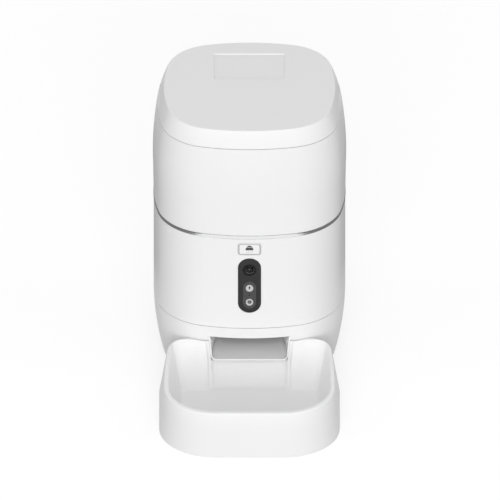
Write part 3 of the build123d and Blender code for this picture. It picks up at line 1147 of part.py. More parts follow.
# ---------------------------------------------------------------- rear electronics
with BuildPart() as main_board:
    with BuildSketch(rear_plane(MAIN_BOARD_FORWARD, MAIN_BOARD_X, MAIN_BOARD_Z)):
        Rectangle(MAIN_BOARD_WIDTH, MAIN_BOARD_HEIGHT)
        with GridLocations(2 * MAIN_POST_X, 2 * MAIN_POST_Z, 2, 2):
            Circle(1.2, mode=Mode.SUBTRACT)
    extrude(amount=-BOARD_THICKNESS)
    # relay, processor and a connector row on the inner side
    with BuildSketch(rear_plane(MAIN_BOARD_FORWARD + BOARD_THICKNESS, MAIN_BOARD_X, MAIN_BOARD_Z)):
        with Locations((-18, 6)):
            Rectangle(14, 14)
        with Locations((14, 8)):
            Rectangle(18, 10)
        with Locations((0, -15)):
            Rectangle(36, 5)
    extrude(amount=-3)
finish(main_board, "main_board")

with BuildPart() as loudspeaker:
    with BuildSketch(rear_plane(SPEAKER_FRONT, SPEAKER_X, SPEAKER_Z)):
        Circle(SPEAKER_RADIUS)
    extrude(amount=-3)
    with BuildSketch(rear_plane(SPEAKER_FRONT, SPEAKER_X, SPEAKER_Z)):
        Circle(SPEAKER_RADIUS * 0.55)
    extrude(amount=-9)
    with BuildSketch(rear_plane(SPEAKER_FRONT, SPEAKER_X, SPEAKER_Z)):
        Circle(SPEAKER_RADIUS - 2)
    extrude(amount=-1.5, mode=Mode.SUBTRACT)
finish(loudspeaker, "loudspeaker")

INLET_BACK = -(front_at(INLET_X + INLET_WIDTH / 2, INLET_Z) - 0.2)
with BuildPart() as dc_inlet:
    with BuildSketch(rear_plane(INLET_BACK, INLET_X, INLET_Z)):
        RectangleRounded(INLET_WIDTH, INLET_HEIGHT, 0.8)
    extrude(amount=-INLET_DEPTH)
    with BuildSketch(rear_plane(INLET_BACK, INLET_X, INLET_Z)):
        Circle(INLET_SOCKET_RADIUS)
        Circle(INLET_PIN_RADIUS, mode=Mode.SUBTRACT)
    extrude(amount=-INLET_DEPTH + 3, mode=Mode.SUBTRACT)
finish(dc_inlet, "dc_inlet")

# ---------------------------------------------------------------- bottom plate and battery bay
CELL_PITCH = 2 * CELL_RADIUS + CELL_GAP
BAY_HALF_WIDTH = (CELL_COUNT - 1) * CELL_PITCH / 2 + CELL_RADIUS + CELL_CLEARANCE
BAY_HALF_LENGTH = CELL_LENGTH / 2 + BAY_END_ROOM
DOOR_TOP_Z = PLATE_BOTTOM_Z + 0.1 + DOOR_THICKNESS
CELL_Z = DOOR_TOP_Z + 0.5 + CELL_RADIUS
BAY_ROOF_Z = CELL_Z + CELL_RADIUS + CELL_CLEARANCE
DOOR_BODY_HALF_WIDTH = BAY_HALF_WIDTH + 2.6
DOOR_HALF_LENGTH = BAY_HALF_LENGTH + 2.4
GROOVE_BOTTOM_Z = PLATE_BOTTOM_Z + 0.9
TONGUE_BOTTOM_Z = GROOVE_BOTTOM_Z + SLIDE_CLEARANCE
GROOVE_TOP_Z = DOOR_TOP_Z + SLIDE_CLEARANCE
BAY_PLANE_Y = y_at(BAY_CENTRE_FORWARD)
SLOT_LENGTH = 2 * DOOR_HALF_LENGTH + DOOR_TRAVEL + 2 * SLIDE_CLEARANCE
SLOT_Y = BAY_PLANE_Y + DOOR_TRAVEL / 2
PLATE_INSET = WALL + PLATE_MARGIN

with BuildPart() as bottom_plate:
    loft(body_sections(PLATE_BOTTOM_Z, PLATE_TOP_Z, PLATE_INSET))
    with BuildSketch(Plane((0, BAY_PLANE_Y, PLATE_TOP_Z - 1))):
        Rectangle(2 * (BAY_HALF_WIDTH + BAY_WALL), 2 * (BAY_HALF_LENGTH + BAY_WALL))
    extrude(amount=BAY_ROOF_Z + BAY_WALL - PLATE_TOP_Z + 1)
    with BuildSketch(Plane((0, BAY_PLANE_Y, PLATE_BOTTOM_Z - 1))):
        Rectangle(2 * BAY_HALF_WIDTH, 2 * BAY_HALF_LENGTH)
    extrude(amount=BAY_ROOF_Z - PLATE_BOTTOM_Z + 1, mode=Mode.SUBTRACT)
    # slot that the door slides in, its lower lips carry the door's tongues
    with BuildSketch(Plane((0, SLOT_Y, PLATE_BOTTOM_Z - 1))):
        Rectangle(2 * (DOOR_BODY_HALF_WIDTH + SLIDE_CLEARANCE), SLOT_LENGTH)
    extrude(amount=GROOVE_TOP_Z - PLATE_BOTTOM_Z + 1, mode=Mode.SUBTRACT)
    with BuildSketch(Plane((0, SLOT_Y, GROOVE_BOTTOM_Z))):
        Rectangle(2 * (DOOR_BODY_HALF_WIDTH + DOOR_TONGUE + 2 * SLIDE_CLEARANCE), SLOT_LENGTH)
    extrude(amount=GROOVE_TOP_Z - GROOVE_BOTTOM_Z, mode=Mode.SUBTRACT)
    # seats of the rubber feet and of the screw heads
    with BuildSketch(Plane((0, BODY_Y, PLATE_BOTTOM_Z))):
        with GridLocations(2 * FOOT_SPREAD_X, 2 * FOOT_SPREAD_Y, 2, 2):
            Circle(FOOT_PAD_RADIUS + 0.2)
    extrude(amount=FOOT_PAD_RECESS, mode=Mode.SUBTRACT)
    with BuildSketch(Plane((0, BODY_Y, PLATE_BOTTOM_Z))):
        with Locations(*COLUMN_PLACES):
            Circle(SCREW_HEAD_RADIUS + 0.2)
    extrude(amount=SCREW_HEAD_HEIGHT, mode=Mode.SUBTRACT)
    with BuildSketch(Plane((0, BODY_Y, PLATE_BOTTOM_Z))):
        with Locations(*COLUMN_PLACES):
            Circle(SCREW_RADIUS + SCREW_CLEARANCE)
    extrude(amount=PLATE_THICKNESS + 1, mode=Mode.SUBTRACT)
finish(bottom_plate, "bottom_plate")

with BuildPart() as battery_door:
    with BuildSketch(Plane((0, BAY_PLANE_Y, DOOR_TOP_Z - DOOR_THICKNESS))):
        Rectangle(2 * DOOR_BODY_HALF_WIDTH, 2 * DOOR_HALF_LENGTH)
        # finger grip slots near the front edge
        with Locations((0, GRIP_SLOT_INSET - DOOR_HALF_LENGTH)):
            with GridLocations(0, GRIP_SLOT_PITCH, 1, GRIP_SLOTS):
                SlotOverall(GRIP_SLOT_LENGTH, GRIP_SLOT_WIDTH, mode=Mode.SUBTRACT)
    extrude(amount=DOOR_THICKNESS)
    with BuildSketch(Plane((0, BAY_PLANE_Y, TONGUE_BOTTOM_Z))):
        Rectangle(2 * (DOOR_BODY_HALF_WIDTH + DOOR_TONGUE), 2 * DOOR_HALF_LENGTH - 8)
        Rectangle(2 * DOOR_BODY_HALF_WIDTH, 2 * DOOR_HALF_LENGTH, mode=Mode.SUBTRACT)
    extrude(amount=DOOR_TOP_Z - TONGUE_BOTTOM_Z)
finish(battery_door, "battery_door")

CELL_XS = [(index - (CELL_COUNT - 1) / 2) * CELL_PITCH for index in range(CELL_COUNT)]
TERMINAL_RADIUS = 4.5
TERMINAL_LENGTH = 1.4

with BuildPart() as battery_cells:
    for cell_x in CELL_XS:
        with BuildSketch(front_plane(BAY_CENTRE_FORWARD - CELL_LENGTH / 2, CELL_Z)):
            with Locations((cell_x, 0)):
                Circle(CELL_RADIUS)
        extrude(amount=CELL_LENGTH - TERMINAL_LENGTH)
        with BuildSketch(front_plane(BAY_CENTRE_FORWARD - CELL_LENGTH / 2, CELL_Z)):
            with Locations((cell_x, 0)):
                Circle(TERMINAL_RADIUS)
        extrude(amount=CELL_LENGTH)
finish(battery_cells, "battery_cells")

CONTACT_THICKNESS = 0.5
CONTACT_SIDE = 14.0
CONTACT_BUTTON_RADIUS = 4.0
with BuildPart() as battery_contacts:
    for end in (-1, 1):
        wall_forward = BAY_CENTRE_FORWARD + end * BAY_HALF_LENGTH
        plane_forward = wall_forward if end < 0 else wall_forward - CONTACT_THICKNESS
        reach = BAY_END_ROOM - 0.2
        with BuildSketch(front_plane(plane_forward, CELL_Z)):
            for cell_x in CELL_XS:
                with Locations((cell_x, 0)):
                    Rectangle(CONTACT_SIDE, CONTACT_SIDE)
        extrude(amount=CONTACT_THICKNESS)
        with BuildSketch(front_plane(wall_forward if end < 0 else wall_forward - reach, CELL_Z)):
            for cell_x in CELL_XS:
                with Locations((cell_x, 0)):
                    Circle(CONTACT_BUTTON_RADIUS)
        extrude(amount=reach)
finish(battery_contacts, "battery_contacts")

with BuildPart() as rubber_feet:
    with BuildSketch(Plane((0, BODY_Y, 0))):
        with GridLocations(2 * FOOT_SPREAD_X, 2 * FOOT_SPREAD_Y, 2, 2):
            Circle(FOOT_PAD_RADIUS)
    extrude(amount=PLATE_BOTTOM_Z + FOOT_PAD_RECESS)
    chamfer(rubber_feet.faces().group_by(Axis.Z)[0].edges(), 0.6)
finish(rubber_feet, "rubber_feet")

# ---------------------------------------------------------------- screws
LONG_SCREW_LENGTH = 84.0


def add_screws(places, plane_y, z, length, head_up):
    """Round-headed screws in the current part; z is under the head, the shank runs away from it."""
    direction = -1 if head_up else 1
    with BuildSketch(Plane((0, plane_y, z))) as heads:
        with Locations(*places):
            Circle(SCREW_HEAD_RADIUS)
    extrude(heads.sketch, amount=-direction * SCREW_HEAD_HEIGHT)
    with BuildSketch(Plane((0, plane_y, z))) as shanks:
        with Locations(*places):
            Circle(SCREW_RADIUS)
    extrude(shanks.sketch, amount=direction * length)


with BuildPart() as housing_screws:
    add_screws(COLUMN_PLACES, BODY_Y, PLATE_BOTTOM_Z + SCREW_HEAD_HEIGHT, LONG_SCREW_LENGTH, False)
finish(housing_screws, "housing_screws")

CHAMBER_SCREW_PLACES = [
    (CHAMBER_EAR_RADIUS * sx * math.sqrt(0.5), CHAMBER_EAR_RADIUS * sy * math.sqrt(0.5))
    for sx in (-1, 1)
    for sy in (-1, 1)
]
with BuildPart() as chamber_screws:
    add_screws(CHAMBER_SCREW_PLACES, BODY_Y, DECK_BOTTOM_Z - 3, 4.8, False)
finish(chamber_screws, "chamber_screws")

with BuildPart() as motor_screws:
    motor_places = [(-MOTOR_EAR_X, 0), (MOTOR_EAR_X, 0)]
    add_screws(motor_places, y_at(PINION_FORWARD), CHAMBER_INNER_FLOOR_Z, 7, True)
finish(motor_screws, "motor_screws")

# ---------------------------------------------------------------- bowl
BOWL_TOP_MARGIN = 3.0
BOWL_DEPTH = BOWL_HEIGHT - BOWL_FLOOR_Z
NOTCH_FRONT = BOWL_FLOOR_REAR + 12
CURVE_REACH = 84.0  # the bowl's rear follows the body's front curve this far to each side
CURVE_STEPS = 6
FLOOR_EDGE_BANDS = 5


def bowl_outer(inset, z_low, z_high):
    """Outer skirt of the bowl between two heights, drawn in by an inset."""
    sections = []
    for z in (z_low, z_high):
        draft = BOWL_DRAFT * (1 - z / BOWL_HEIGHT) - inset
        half = BOWL_RIM_HALF_WIDTH + draft
        front = BOWL_RIM_FRONT + draft
        rear_corner = BOWL_REAR_CORNER - inset
        front_corner = BOWL_FRONT_CORNER + draft
        sections.append(rounded_face(z, half, BOWL_REAR + inset, front, rear_corner, front_corner))
    return sections


def between(low, high, share):
    return low + (high - low) * share


def bowl_cavity_section(grow, z):
    """Inside outline of the bowl at a height, grown by a wall."""
    share = (z - BOWL_FLOOR_Z) / BOWL_DEPTH
    half = between(BOWL_FLOOR_HALF_WIDTH, BOWL_RIM_HALF_WIDTH - BOWL_RIM_WIDTH, share) + grow
    front = between(BOWL_FLOOR_FRONT, BOWL_RIM_FRONT - BOWL_FRONT_RIM_WIDTH, share) + grow
    rear = between(BOWL_FLOOR_REAR, BOWL_REAR + BOWL_RIM_WIDTH, share) - grow
    front_corner = between(BOWL_FLOOR_FRONT_CORNER, BOWL_FRONT_CORNER - BOWL_RIM_WIDTH, share) + grow
    rear_corner = between(BOWL_FLOOR_REAR_CORNER, BOWL_INNER_REAR_CORNER, share) + grow
    return rounded_face(z, half, rear, front, rear_corner, front_corner)


def bowl_cavity(grow, z_low, z_high):
    """Inside of the bowl between two heights, grown by a wall."""
    return [bowl_cavity_section(grow, z) for z in (z_low, z_high)]


def bowl_floor_edge():
    """The round between the bowl's floor and its leaning wall, in narrow bands."""
    lean = math.atan2(BOWL_RIM_HALF_WIDTH - BOWL_RIM_WIDTH - BOWL_FLOOR_HALF_WIDTH, BOWL_DEPTH)
    start = math.tan(math.pi / 4 - lean / 2)
    sections = []
    for band in range(FLOOR_EDGE_BANDS + 1):
        turn = (math.pi / 2 - lean) * band / FLOOR_EDGE_BANDS
        rise = 1 - math.cos(turn)
        inset = start + rise * math.tan(lean) - math.sin(turn)
        height = BOWL_FLOOR_Z + BOWL_FLOOR_RADIUS * rise
        sections.append(bowl_cavity_section(-BOWL_FLOOR_RADIUS * inset, height))
    return sections


def body_prism(clearance):
    """An upright block behind the body's front curve, grown forward by a clearance."""
    steps = range(-CURVE_STEPS, CURVE_STEPS + 1)
    curve = [CURVE_REACH * step / CURVE_STEPS for step in steps]
    points = [(x, -front_at(x, BOWL_HEIGHT) - clearance) for x in curve]
    with BuildSketch(Plane((0, BODY_Y, -BOWL_TOP_MARGIN))) as block:
        with BuildLine():
            Spline(*points)
            Polyline(points[-1], (CURVE_REACH, 0), (-CURVE_REACH, 0), points[0])
        make_face()
    return extrude(block.sketch, amount=BOWL_HEIGHT + 3 * BOWL_TOP_MARGIN, mode=Mode.PRIVATE)


def notch_section(z, grow, rear_room=0.0):
    """Plan section of the rear recess under the spout at a height."""
    share = (z - BOWL_FLOOR_Z) / BOWL_DEPTH
    half = between(NOTCH_HALF_WIDTH_LOW, NOTCH_HALF_WIDTH_TOP, share) + grow
    back = between(NOTCH_BACK_LOW, NOTCH_BACK_TOP, share) - grow - rear_room
    return rounded_face(z, half, back, NOTCH_FRONT, NOTCH_CORNER_RADIUS, NOTCH_CORNER_RADIUS)


def notch_sections(z_low, z_high, grow, rear_room=0.0):
    return [notch_section(z_low, grow, rear_room), notch_section(z_high, grow, rear_room)]


BOWL_OPEN_Z = BOWL_HEIGHT + BOWL_TOP_MARGIN

with BuildPart() as bowl_hollow:
    loft([*bowl_floor_edge(), bowl_cavity_section(0, BOWL_OPEN_Z)], ruled=True)
    add(body_prism(BOWL_BODY_CLEARANCE + BOWL_REAR_RIM_WIDTH), mode=Mode.SUBTRACT)
    loft(notch_sections(BOWL_FLOOR_Z, BOWL_OPEN_Z, 0), ruled=True)

with BuildPart() as bowl_underside:
    loft(bowl_outer(BOWL_WALL, -1, BOWL_HEIGHT - BOWL_WALL), ruled=True)
    loft(bowl_cavity(BOWL_WALL, BOWL_FLOOR_Z - BOWL_WALL, BOWL_HEIGHT), ruled=True, mode=Mode.SUBTRACT)
    add(body_prism(BOWL_BODY_CLEARANCE + BOWL_WALL), mode=Mode.SUBTRACT)
    loft(notch_sections(-2, BOWL_HEIGHT, BOWL_WALL, 12), ruled=True, mode=Mode.SUBTRACT)

with BuildPart() as bowl:
    loft(bowl_outer(0, 0, BOWL_HEIGHT), ruled=True)
    add(body_prism(BOWL_BODY_CLEARANCE), mode=Mode.SUBTRACT)
    add(bowl_hollow.part, mode=Mode.SUBTRACT)
    add(bowl_underside.part, mode=Mode.SUBTRACT)
    # the rim dips under the spout's lip
    loft(notch_sections(NOTCH_EDGE_Z, BOWL_OPEN_Z, 0, 20), ruled=True, mode=Mode.SUBTRACT)
finish(bowl, "bowl")
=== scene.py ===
"""Looks of the automatic camera pet feeder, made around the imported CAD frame.

Metres, +Z up, and the front faces -Y. The bowl, chute, lens and print sections count in
millimetres, and forward distances run from the body's upright axis towards the viewer.
"""

import json
import math

import bmesh
import bpy
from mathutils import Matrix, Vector


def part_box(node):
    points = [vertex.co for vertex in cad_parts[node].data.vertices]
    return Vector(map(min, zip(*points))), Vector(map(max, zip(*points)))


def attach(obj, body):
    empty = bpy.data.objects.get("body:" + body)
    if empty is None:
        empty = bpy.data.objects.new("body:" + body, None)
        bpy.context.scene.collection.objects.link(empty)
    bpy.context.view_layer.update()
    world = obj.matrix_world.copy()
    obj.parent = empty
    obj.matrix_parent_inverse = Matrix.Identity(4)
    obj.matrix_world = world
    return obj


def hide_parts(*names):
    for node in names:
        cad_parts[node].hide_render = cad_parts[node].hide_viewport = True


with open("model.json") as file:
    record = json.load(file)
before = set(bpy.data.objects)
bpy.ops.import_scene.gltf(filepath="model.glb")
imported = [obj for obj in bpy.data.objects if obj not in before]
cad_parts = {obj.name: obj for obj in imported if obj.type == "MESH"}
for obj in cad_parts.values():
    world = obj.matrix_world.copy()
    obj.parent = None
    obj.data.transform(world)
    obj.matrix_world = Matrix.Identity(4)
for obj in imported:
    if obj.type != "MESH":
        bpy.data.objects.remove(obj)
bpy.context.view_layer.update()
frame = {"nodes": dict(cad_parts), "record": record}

MM = 0.001
BODY_Y = 0.0714
QUARTER_TURN = math.pi / 2

# ---------------------------------------------------------------- camera
ELEVATION = math.radians(31.0)
VIEW_WIDTH = 0.5
CAMERA_DISTANCE = 3.0
CAMERA_REACH = 20.0
AIM = Vector((0.0005, BODY_Y, 0.10068))

camera_data = bpy.data.cameras.new("camera")
camera_data.type = "ORTHO"
camera_data.ortho_scale = VIEW_WIDTH
camera_data.clip_end = CAMERA_REACH
camera = bpy.data.objects.new("camera", camera_data)
bpy.context.collection.objects.link(camera)
back = Vector((0.0, -math.cos(ELEVATION), math.sin(ELEVATION)))
camera.location = AIM + back * CAMERA_DISTANCE
camera.rotation_euler = (QUARTER_TURN - ELEVATION, 0.0, 0.0)
bpy.context.scene.camera = camera
bpy.context.scene.view_settings.view_transform = "Standard"


# ---------------------------------------------------------------- node helpers
class Graph:
    """Short names for building a node tree."""

    def __init__(self, tree):
        self.tree = tree
        self.nodes = tree.nodes
        self.nodes.clear()

    def add(self, kind, inputs=None, **settings):
        node = self.nodes.new(kind)
        for name, value in settings.items():
            setattr(node, name, value)
        for key, value in (inputs or {}).items():
            socket = node.inputs[key]
            if isinstance(value, bpy.types.NodeSocket):
                self.tree.links.new(value, socket)
            else:
                socket.default_value = value
        return node

    def seen_or_mirrored(self):
        """1 for the camera's own rays and for reflections, 0 for light that falls on the object."""
        path = self.add("ShaderNodeLightPath")
        rays = {0: path.outputs["Is Camera Ray"], 1: path.outputs["Is Glossy Ray"]}
        return self.add("ShaderNodeMath", rays, operation="MAXIMUM").outputs[0]


def new_graph(block):
    """An empty node tree in a material or world."""
    block.use_nodes = True
    return Graph(block.node_tree)


def rgba(value):
    if isinstance(value, (int, float)):
        value = (value, value, value)
    return (*value, 1.0)


# ---------------------------------------------------------------- materials
FLOW_SCALE, FLOW_DETAIL = 14.0, 3.0
GRAIN_SCALE, GRAIN_DETAIL = 2600.0, 2.0
GRAIN_LOW, GRAIN_HIGH = 0.3, 0.7
GLOSS_SPREAD = 0.04
BEVEL_SAMPLES = 4
BUMP_STRENGTH = 0.5
PLASTIC_IOR = 1.46


def plastic(name, colour, roughness, spread=0.012, grain_height=0.00001, edge=0.0005,
            metallic=0.0, specular=0.5, alpha=1.0):
    """Moulded plastic: a faint flow variation in tone, and a fine spark texture in bump and gloss.

    The edge is the radius that catches the light on every corner.
    """
    material = bpy.data.materials.new(name)
    g = new_graph(material)
    place = g.add("ShaderNodeTexCoord").outputs["Object"]
    flow = g.add(
        "ShaderNodeTexNoise", {"Vector": place, "Scale": FLOW_SCALE, "Detail": FLOW_DETAIL},
    )
    low = tuple(c * (1 - spread) for c in rgba(colour)[:3])
    high = tuple(min(1.0, c * (1 + spread)) for c in rgba(colour)[:3])
    tone = g.add(
        "ShaderNodeMix", {0: flow.outputs["Fac"], 6: rgba(low), 7: rgba(high)}, data_type="RGBA",
    )
    grain = g.add(
        "ShaderNodeTexNoise", {"Vector": place, "Scale": GRAIN_SCALE, "Detail": GRAIN_DETAIL},
    )
    gloss = g.add(
        "ShaderNodeMapRange",
        {"Value": grain.outputs["Fac"], "From Min": GRAIN_LOW, "From Max": GRAIN_HIGH,
         "To Min": roughness - GLOSS_SPREAD, "To Max": roughness + GLOSS_SPREAD},
    )
    corner = g.add("ShaderNodeBevel", {"Radius": edge}, samples=BEVEL_SAMPLES)
    bump = g.add(
        "ShaderNodeBump",
        {"Height": grain.outputs["Fac"], "Distance": grain_height, "Strength": BUMP_STRENGTH,
         "Normal": corner.outputs["Normal"]},
    )
    shader = g.add(
        "ShaderNodeBsdfPrincipled",
        {"Base Color": tone.outputs[2], "Roughness": gloss.outputs["Result"],
         "Normal": bump.outputs["Normal"], "Metallic": metallic, "IOR": PLASTIC_IOR,
         "Specular IOR Level": specular, "Alpha": alpha},
    )
    g.add("ShaderNodeOutputMaterial", {"Surface": shader.outputs["BSDF"]})
    return material


SHELL = dict(colour=0.80, roughness=0.42, specular=0.25)
LOOKS = {
    "white_shell": dict(SHELL, edge=0.00015),
    # the inner white is darker than the shell's white, as painted shade for the chute and its tray;
    # the other inner parts take it too
    "white_inner": dict(colour=0.6, roughness=0.5, specular=0.25),
    "chrome_trim": dict(
        colour=(0.83, 0.83, 0.84), roughness=0.2, metallic=1.0, spread=0.005, edge=0.0001,
    ),
    "dark_panel": dict(colour=0.03, roughness=0.34, specular=0.25, grain_height=0.000004),
    "grey_inlay": dict(colour=0.068, roughness=0.42, specular=0.25),
    "black_bezel": dict(colour=0.014, roughness=0.3, specular=0.2),
    "window_glass": dict(colour=0.02, roughness=0.06, specular=0.2, alpha=0.28),
    "lens_glass": dict(colour=(0.01, 0.012, 0.02), roughness=0.2, specular=0.35),
    "silver_button": dict(colour=(0.62, 0.62, 0.63), roughness=0.38, metallic=0.35),
    "translucent_rotor": dict(colour=(0.62, 0.62, 0.58), roughness=0.35),
    "gear_plastic": dict(colour=(0.72, 0.7, 0.62), roughness=0.4),
    "steel": dict(colour=(0.55, 0.55, 0.57), roughness=0.3, metallic=1.0),
    "circuit_board": dict(colour=(0.02, 0.12, 0.05), roughness=0.35),
    "dark_part": dict(colour=0.03, roughness=0.5),
    "feet_rubber": dict(colour=0.07, roughness=0.75),
    "gasket_rubber": dict(colour=0.5, roughness=0.7),
    "cell_jacket": dict(colour=(0.12, 0.13, 0.16), roughness=0.3),
}
materials = {name: plastic(name, **look) for name, look in LOOKS.items()}

for part in frame["record"]["subparts"]:
    node = frame["nodes"][part["node"]]
    material = materials[part["material_slot"]]
    if not node.material_slots:
        node.data.materials.append(material)
    for slot in node.material_slots:
        slot.material = material

# a darker white on the spout liner: painted shade for the chute, which is seen only in shade
for slot in frame["nodes"]["spout_liner"].material_slots:
    slot.material = plastic("chute_painted_shade", colour=0.48, roughness=0.5, specular=0.25)

# ---------------------------------------------------------------- mesh helpers
SHARP_ANGLE = math.radians(40)


def mix(a, b, share):
    return a + (b - a) * share


def ease(share):
    """A share that starts and ends slowly."""
    return share * share * (3 - 2 * share)


def world_point(x, forward, z):
    """A point of the scene, from millimetres."""
    return (x * MM, BODY_Y - forward * MM, z * MM)


def bridge(bm, near, far):
    """Faces between two closed rings that have the same number of points."""
    count = len(near)
    for index in range(count):
        after = (index + 1) % count
        bm.faces.new((near[index], near[after], far[after], far[index]))


def make_object(name, bm, material, smooth=False):
    """Put a bmesh into the scene as an object, with its normals outward."""
    bmesh.ops.recalc_face_normals(bm, faces=bm.faces)
    for face in bm.faces:
        face.smooth = smooth
    mesh = bpy.data.meshes.new(name)
    bm.to_mesh(mesh)
    bm.free()
    if smooth:
        mesh.set_sharp_from_angle(angle=SHARP_ANGLE)
    mesh.materials.append(material)
    made = bpy.data.objects.new(name, mesh)
    bpy.context.collection.objects.link(made)
    return made


# ---------------------------------------------------------------- bowl
# The moulded bowl, with its rounded rim and the stepped recess under the spout. A plan point is
# (x, forward). A pair runs from the floor, where a share is 0, to the rim, where it is 1.
BOWL_HEIGHT = 48.2
BOWL_FLOOR_Z = 4.2
BOWL_DEPTH = BOWL_HEIGHT - BOWL_FLOOR_Z
BOWL_WALL = 2.2
FLOOR_ROUND = 5.5
SIDE_DRAW = 3.5
# where the rim is narrow, its round takes no more than this share of the width
RIM_ROUND, RIM_SHARE_LIMIT = 1.3, 0.48

OUTER_HALF, OUTER_FRONT, OUTER_REAR = 85.7, 231.0, 82.6
OUTER_DRAFT = 4.6
OUTER_REAR_RADIUS, OUTER_FRONT_RADIUS = 24.0, 52.0
INNER_HALF, INNER_FRONT = (68.3, 81.1), (212.0, 224.8)
INNER_REAR_RADIUS, INNER_FRONT_RADIUS = (7.0, 9.0), (36.0, 47.4)
FLANK_FLOOR, FLANK_RIM = 111.0, 87.2

RECESS_BACK = (104.5, 87.4)
RECESS_TOP_SHARE = 0.586
LEDGE_FLOOR_X, LEDGE_TOP_X, LEDGE_RIM_X = 38.1, 38.3, 40.6
LEDGE_WIDTH = 1.5
LEDGE_GAP = 0.3
LEDGE_PLACE = 0.5
STEP_WIDTH = 2.9

# the front of the body behind the bowl, a superellipse
BODY_HALF_WIDTH, BODY_HALF_DEPTH, BODY_POWER = 95.3, 92.0, 2.75
BODY_GAP, REAR_RIM = 0.8, 3.3

# how many points the stretches of the plan take, and how many bands the rounds and the wall take
MIDDLE_COUNT, INNER_STEP_COUNT, LEDGE_COUNT, OUTER_STEP_COUNT = 6, 5, 3, 6
FLANK_COUNT, REAR_CORNER_COUNT, SIDE_COUNT = 7, 9, 9
FRONT_CORNER_COUNT, FRONT_COUNT = 16, 6
LEDGE_START = MIDDLE_COUNT + INNER_STEP_COUNT
LEDGE_END = LEDGE_START + LEDGE_COUNT
FLOOR_BANDS, WALL_BANDS, RIM_BANDS = 6, 8, 5

# the wall is low at the first stations, which end at the recess's top, and full at the others
RECESS_STATIONS = LEDGE_START + 1
SKIRT_SHARES = (1.0, 0.66, 0.33, 0.0)
UNDER_RECESS_Z, UNDER_RIM_Z = 14.0, 40.0


def body_front(x):
    """Front of the body behind the bowl."""
    return BODY_HALF_DEPTH * (1 - (abs(x) / BODY_HALF_WIDTH) ** BODY_POWER) ** (1 / BODY_POWER)


def steps(start, end, count):
    """Even places from the start up to the end, which is left out."""
    return [mix(start, end, index / count) for index in range(count)]


def ledge_x(share):
    """Side of the recess, which follows the spout's side above the recess's top."""
    if share < RECESS_TOP_SHARE:
        return mix(LEDGE_FLOOR_X, LEDGE_TOP_X, share / RECESS_TOP_SHARE)
    return mix(LEDGE_TOP_X, LEDGE_RIM_X, (share - RECESS_TOP_SHARE) / (1 - RECESS_TOP_SHARE))


def recess_xs(share):
    """Places across the recess, from its middle to the flank wall."""
    ledge = ledge_x(share)
    flank_start = ledge + LEDGE_WIDTH
    return (
        steps(0, ledge - STEP_WIDTH, MIDDLE_COUNT)
        + steps(ledge - STEP_WIDTH, ledge - LEDGE_GAP, INNER_STEP_COUNT)
        + [ledge - LEDGE_GAP, ledge, flank_start]
        + steps(flank_start, flank_start + STEP_WIDTH, OUTER_STEP_COUNT)[1:]
    )


def half_outline(rear_points, rear_line, half, front, rear_radius, front_radius, draw):
    """Right half of a plan outline: recess, rear flank, corner, side, corner and front."""
    points = list(rear_points)
    corner_x = half - draw - rear_radius
    start = points[-1][0]
    for index in range(1, FLANK_COUNT + 1):
        x = mix(start, corner_x, index / FLANK_COUNT)
        points.append((x, rear_line(x)))
    side_start = rear_line(corner_x) + rear_radius
    for index in range(1, REAR_CORNER_COUNT + 1):
        angle = QUARTER_TURN * index / REAR_CORNER_COUNT
        points.append((
            corner_x + rear_radius * math.sin(angle), side_start - rear_radius * math.cos(angle),
        ))
    side_end = front - front_radius
    for index in range(1, SIDE_COUNT):
        share = index / SIDE_COUNT
        points.append((half - draw * (1 - share) ** 2, mix(side_start, side_end, share)))
    for index in range(FRONT_CORNER_COUNT + 1):
        angle = QUARTER_TURN * index / FRONT_CORNER_COUNT
        points.append((
            half - front_radius * (1 - math.cos(angle)), side_end + front_radius * math.sin(angle),
        ))
    for index in range(1, FRONT_COUNT + 1):
        points.append((mix(half - front_radius, 0, index / FRONT_COUNT), front))
    return points


def inner_half(share, grow):
    """Inside of the bowl, grown by a wall."""
    def flank(x):
        return mix(FLANK_FLOOR, max(body_front(x) + REAR_RIM, FLANK_RIM), share) - grow

    xs = recess_xs(share)
    back = mix(*RECESS_BACK, share) - grow
    wall = flank(xs[-1])
    ledge = mix(back, wall, LEDGE_PLACE)
    points = [(x, back) for x in xs[:MIDDLE_COUNT]]
    for index, x in enumerate(xs[MIDDLE_COUNT:LEDGE_START]):
        points.append((x, mix(back, ledge, ease(index / INNER_STEP_COUNT))))
    points += [(x, ledge) for x in xs[LEDGE_START:LEDGE_END]]
    for index, x in enumerate(xs[LEDGE_END:], start=1):
        points.append((x, mix(ledge, wall, ease(index / OUTER_STEP_COUNT))))
    return half_outline(
        points, flank, mix(*INNER_HALF, share) + grow, mix(*INNER_FRONT, share) + grow,
        mix(*INNER_REAR_RADIUS, share) + grow, mix(*INNER_FRONT_RADIUS, share) + grow,
        SIDE_DRAW * share,
    )


def outer_half(z, grow):
    """Outside of the bowl's skirt at a height, grown by a wall."""
    def rear(x):
        return max(body_front(x) + BODY_GAP, OUTER_REAR) - grow

    share = z / BOWL_HEIGHT
    draft = OUTER_DRAFT * (1 - share)
    points = [(x, rear(x)) for x in recess_xs(share)]
    return half_outline(
        points, rear, OUTER_HALF + draft + grow, OUTER_FRONT + draft + grow,
        OUTER_REAR_RADIUS + grow, OUTER_FRONT_RADIUS + draft + grow, SIDE_DRAW * share,
    )


STATIONS = len(inner_half(1.0, 0.0))
TOP_SHARE = [RECESS_TOP_SHARE if index < RECESS_STATIONS else 1.0 for index in range(STATIONS)]
UNDER_Z = [UNDER_RECESS_Z if index < RECESS_STATIONS else UNDER_RIM_Z for index in range(STATIONS)]


def flat_ring(outline, z):
    """A level ring of the bowl."""
    return [(x, forward, z) for x, forward in outline]


def inner_ring(share):
    """A ring of the cavity; each station reaches its own rim at a share of 1."""
    ring = []
    for index, top in enumerate(TOP_SHARE):
        x, forward = inner_half(share * top, 0.0)[index]
        ring.append((x, forward, BOWL_FLOOR_Z + BOWL_DEPTH * share * top))
    return ring


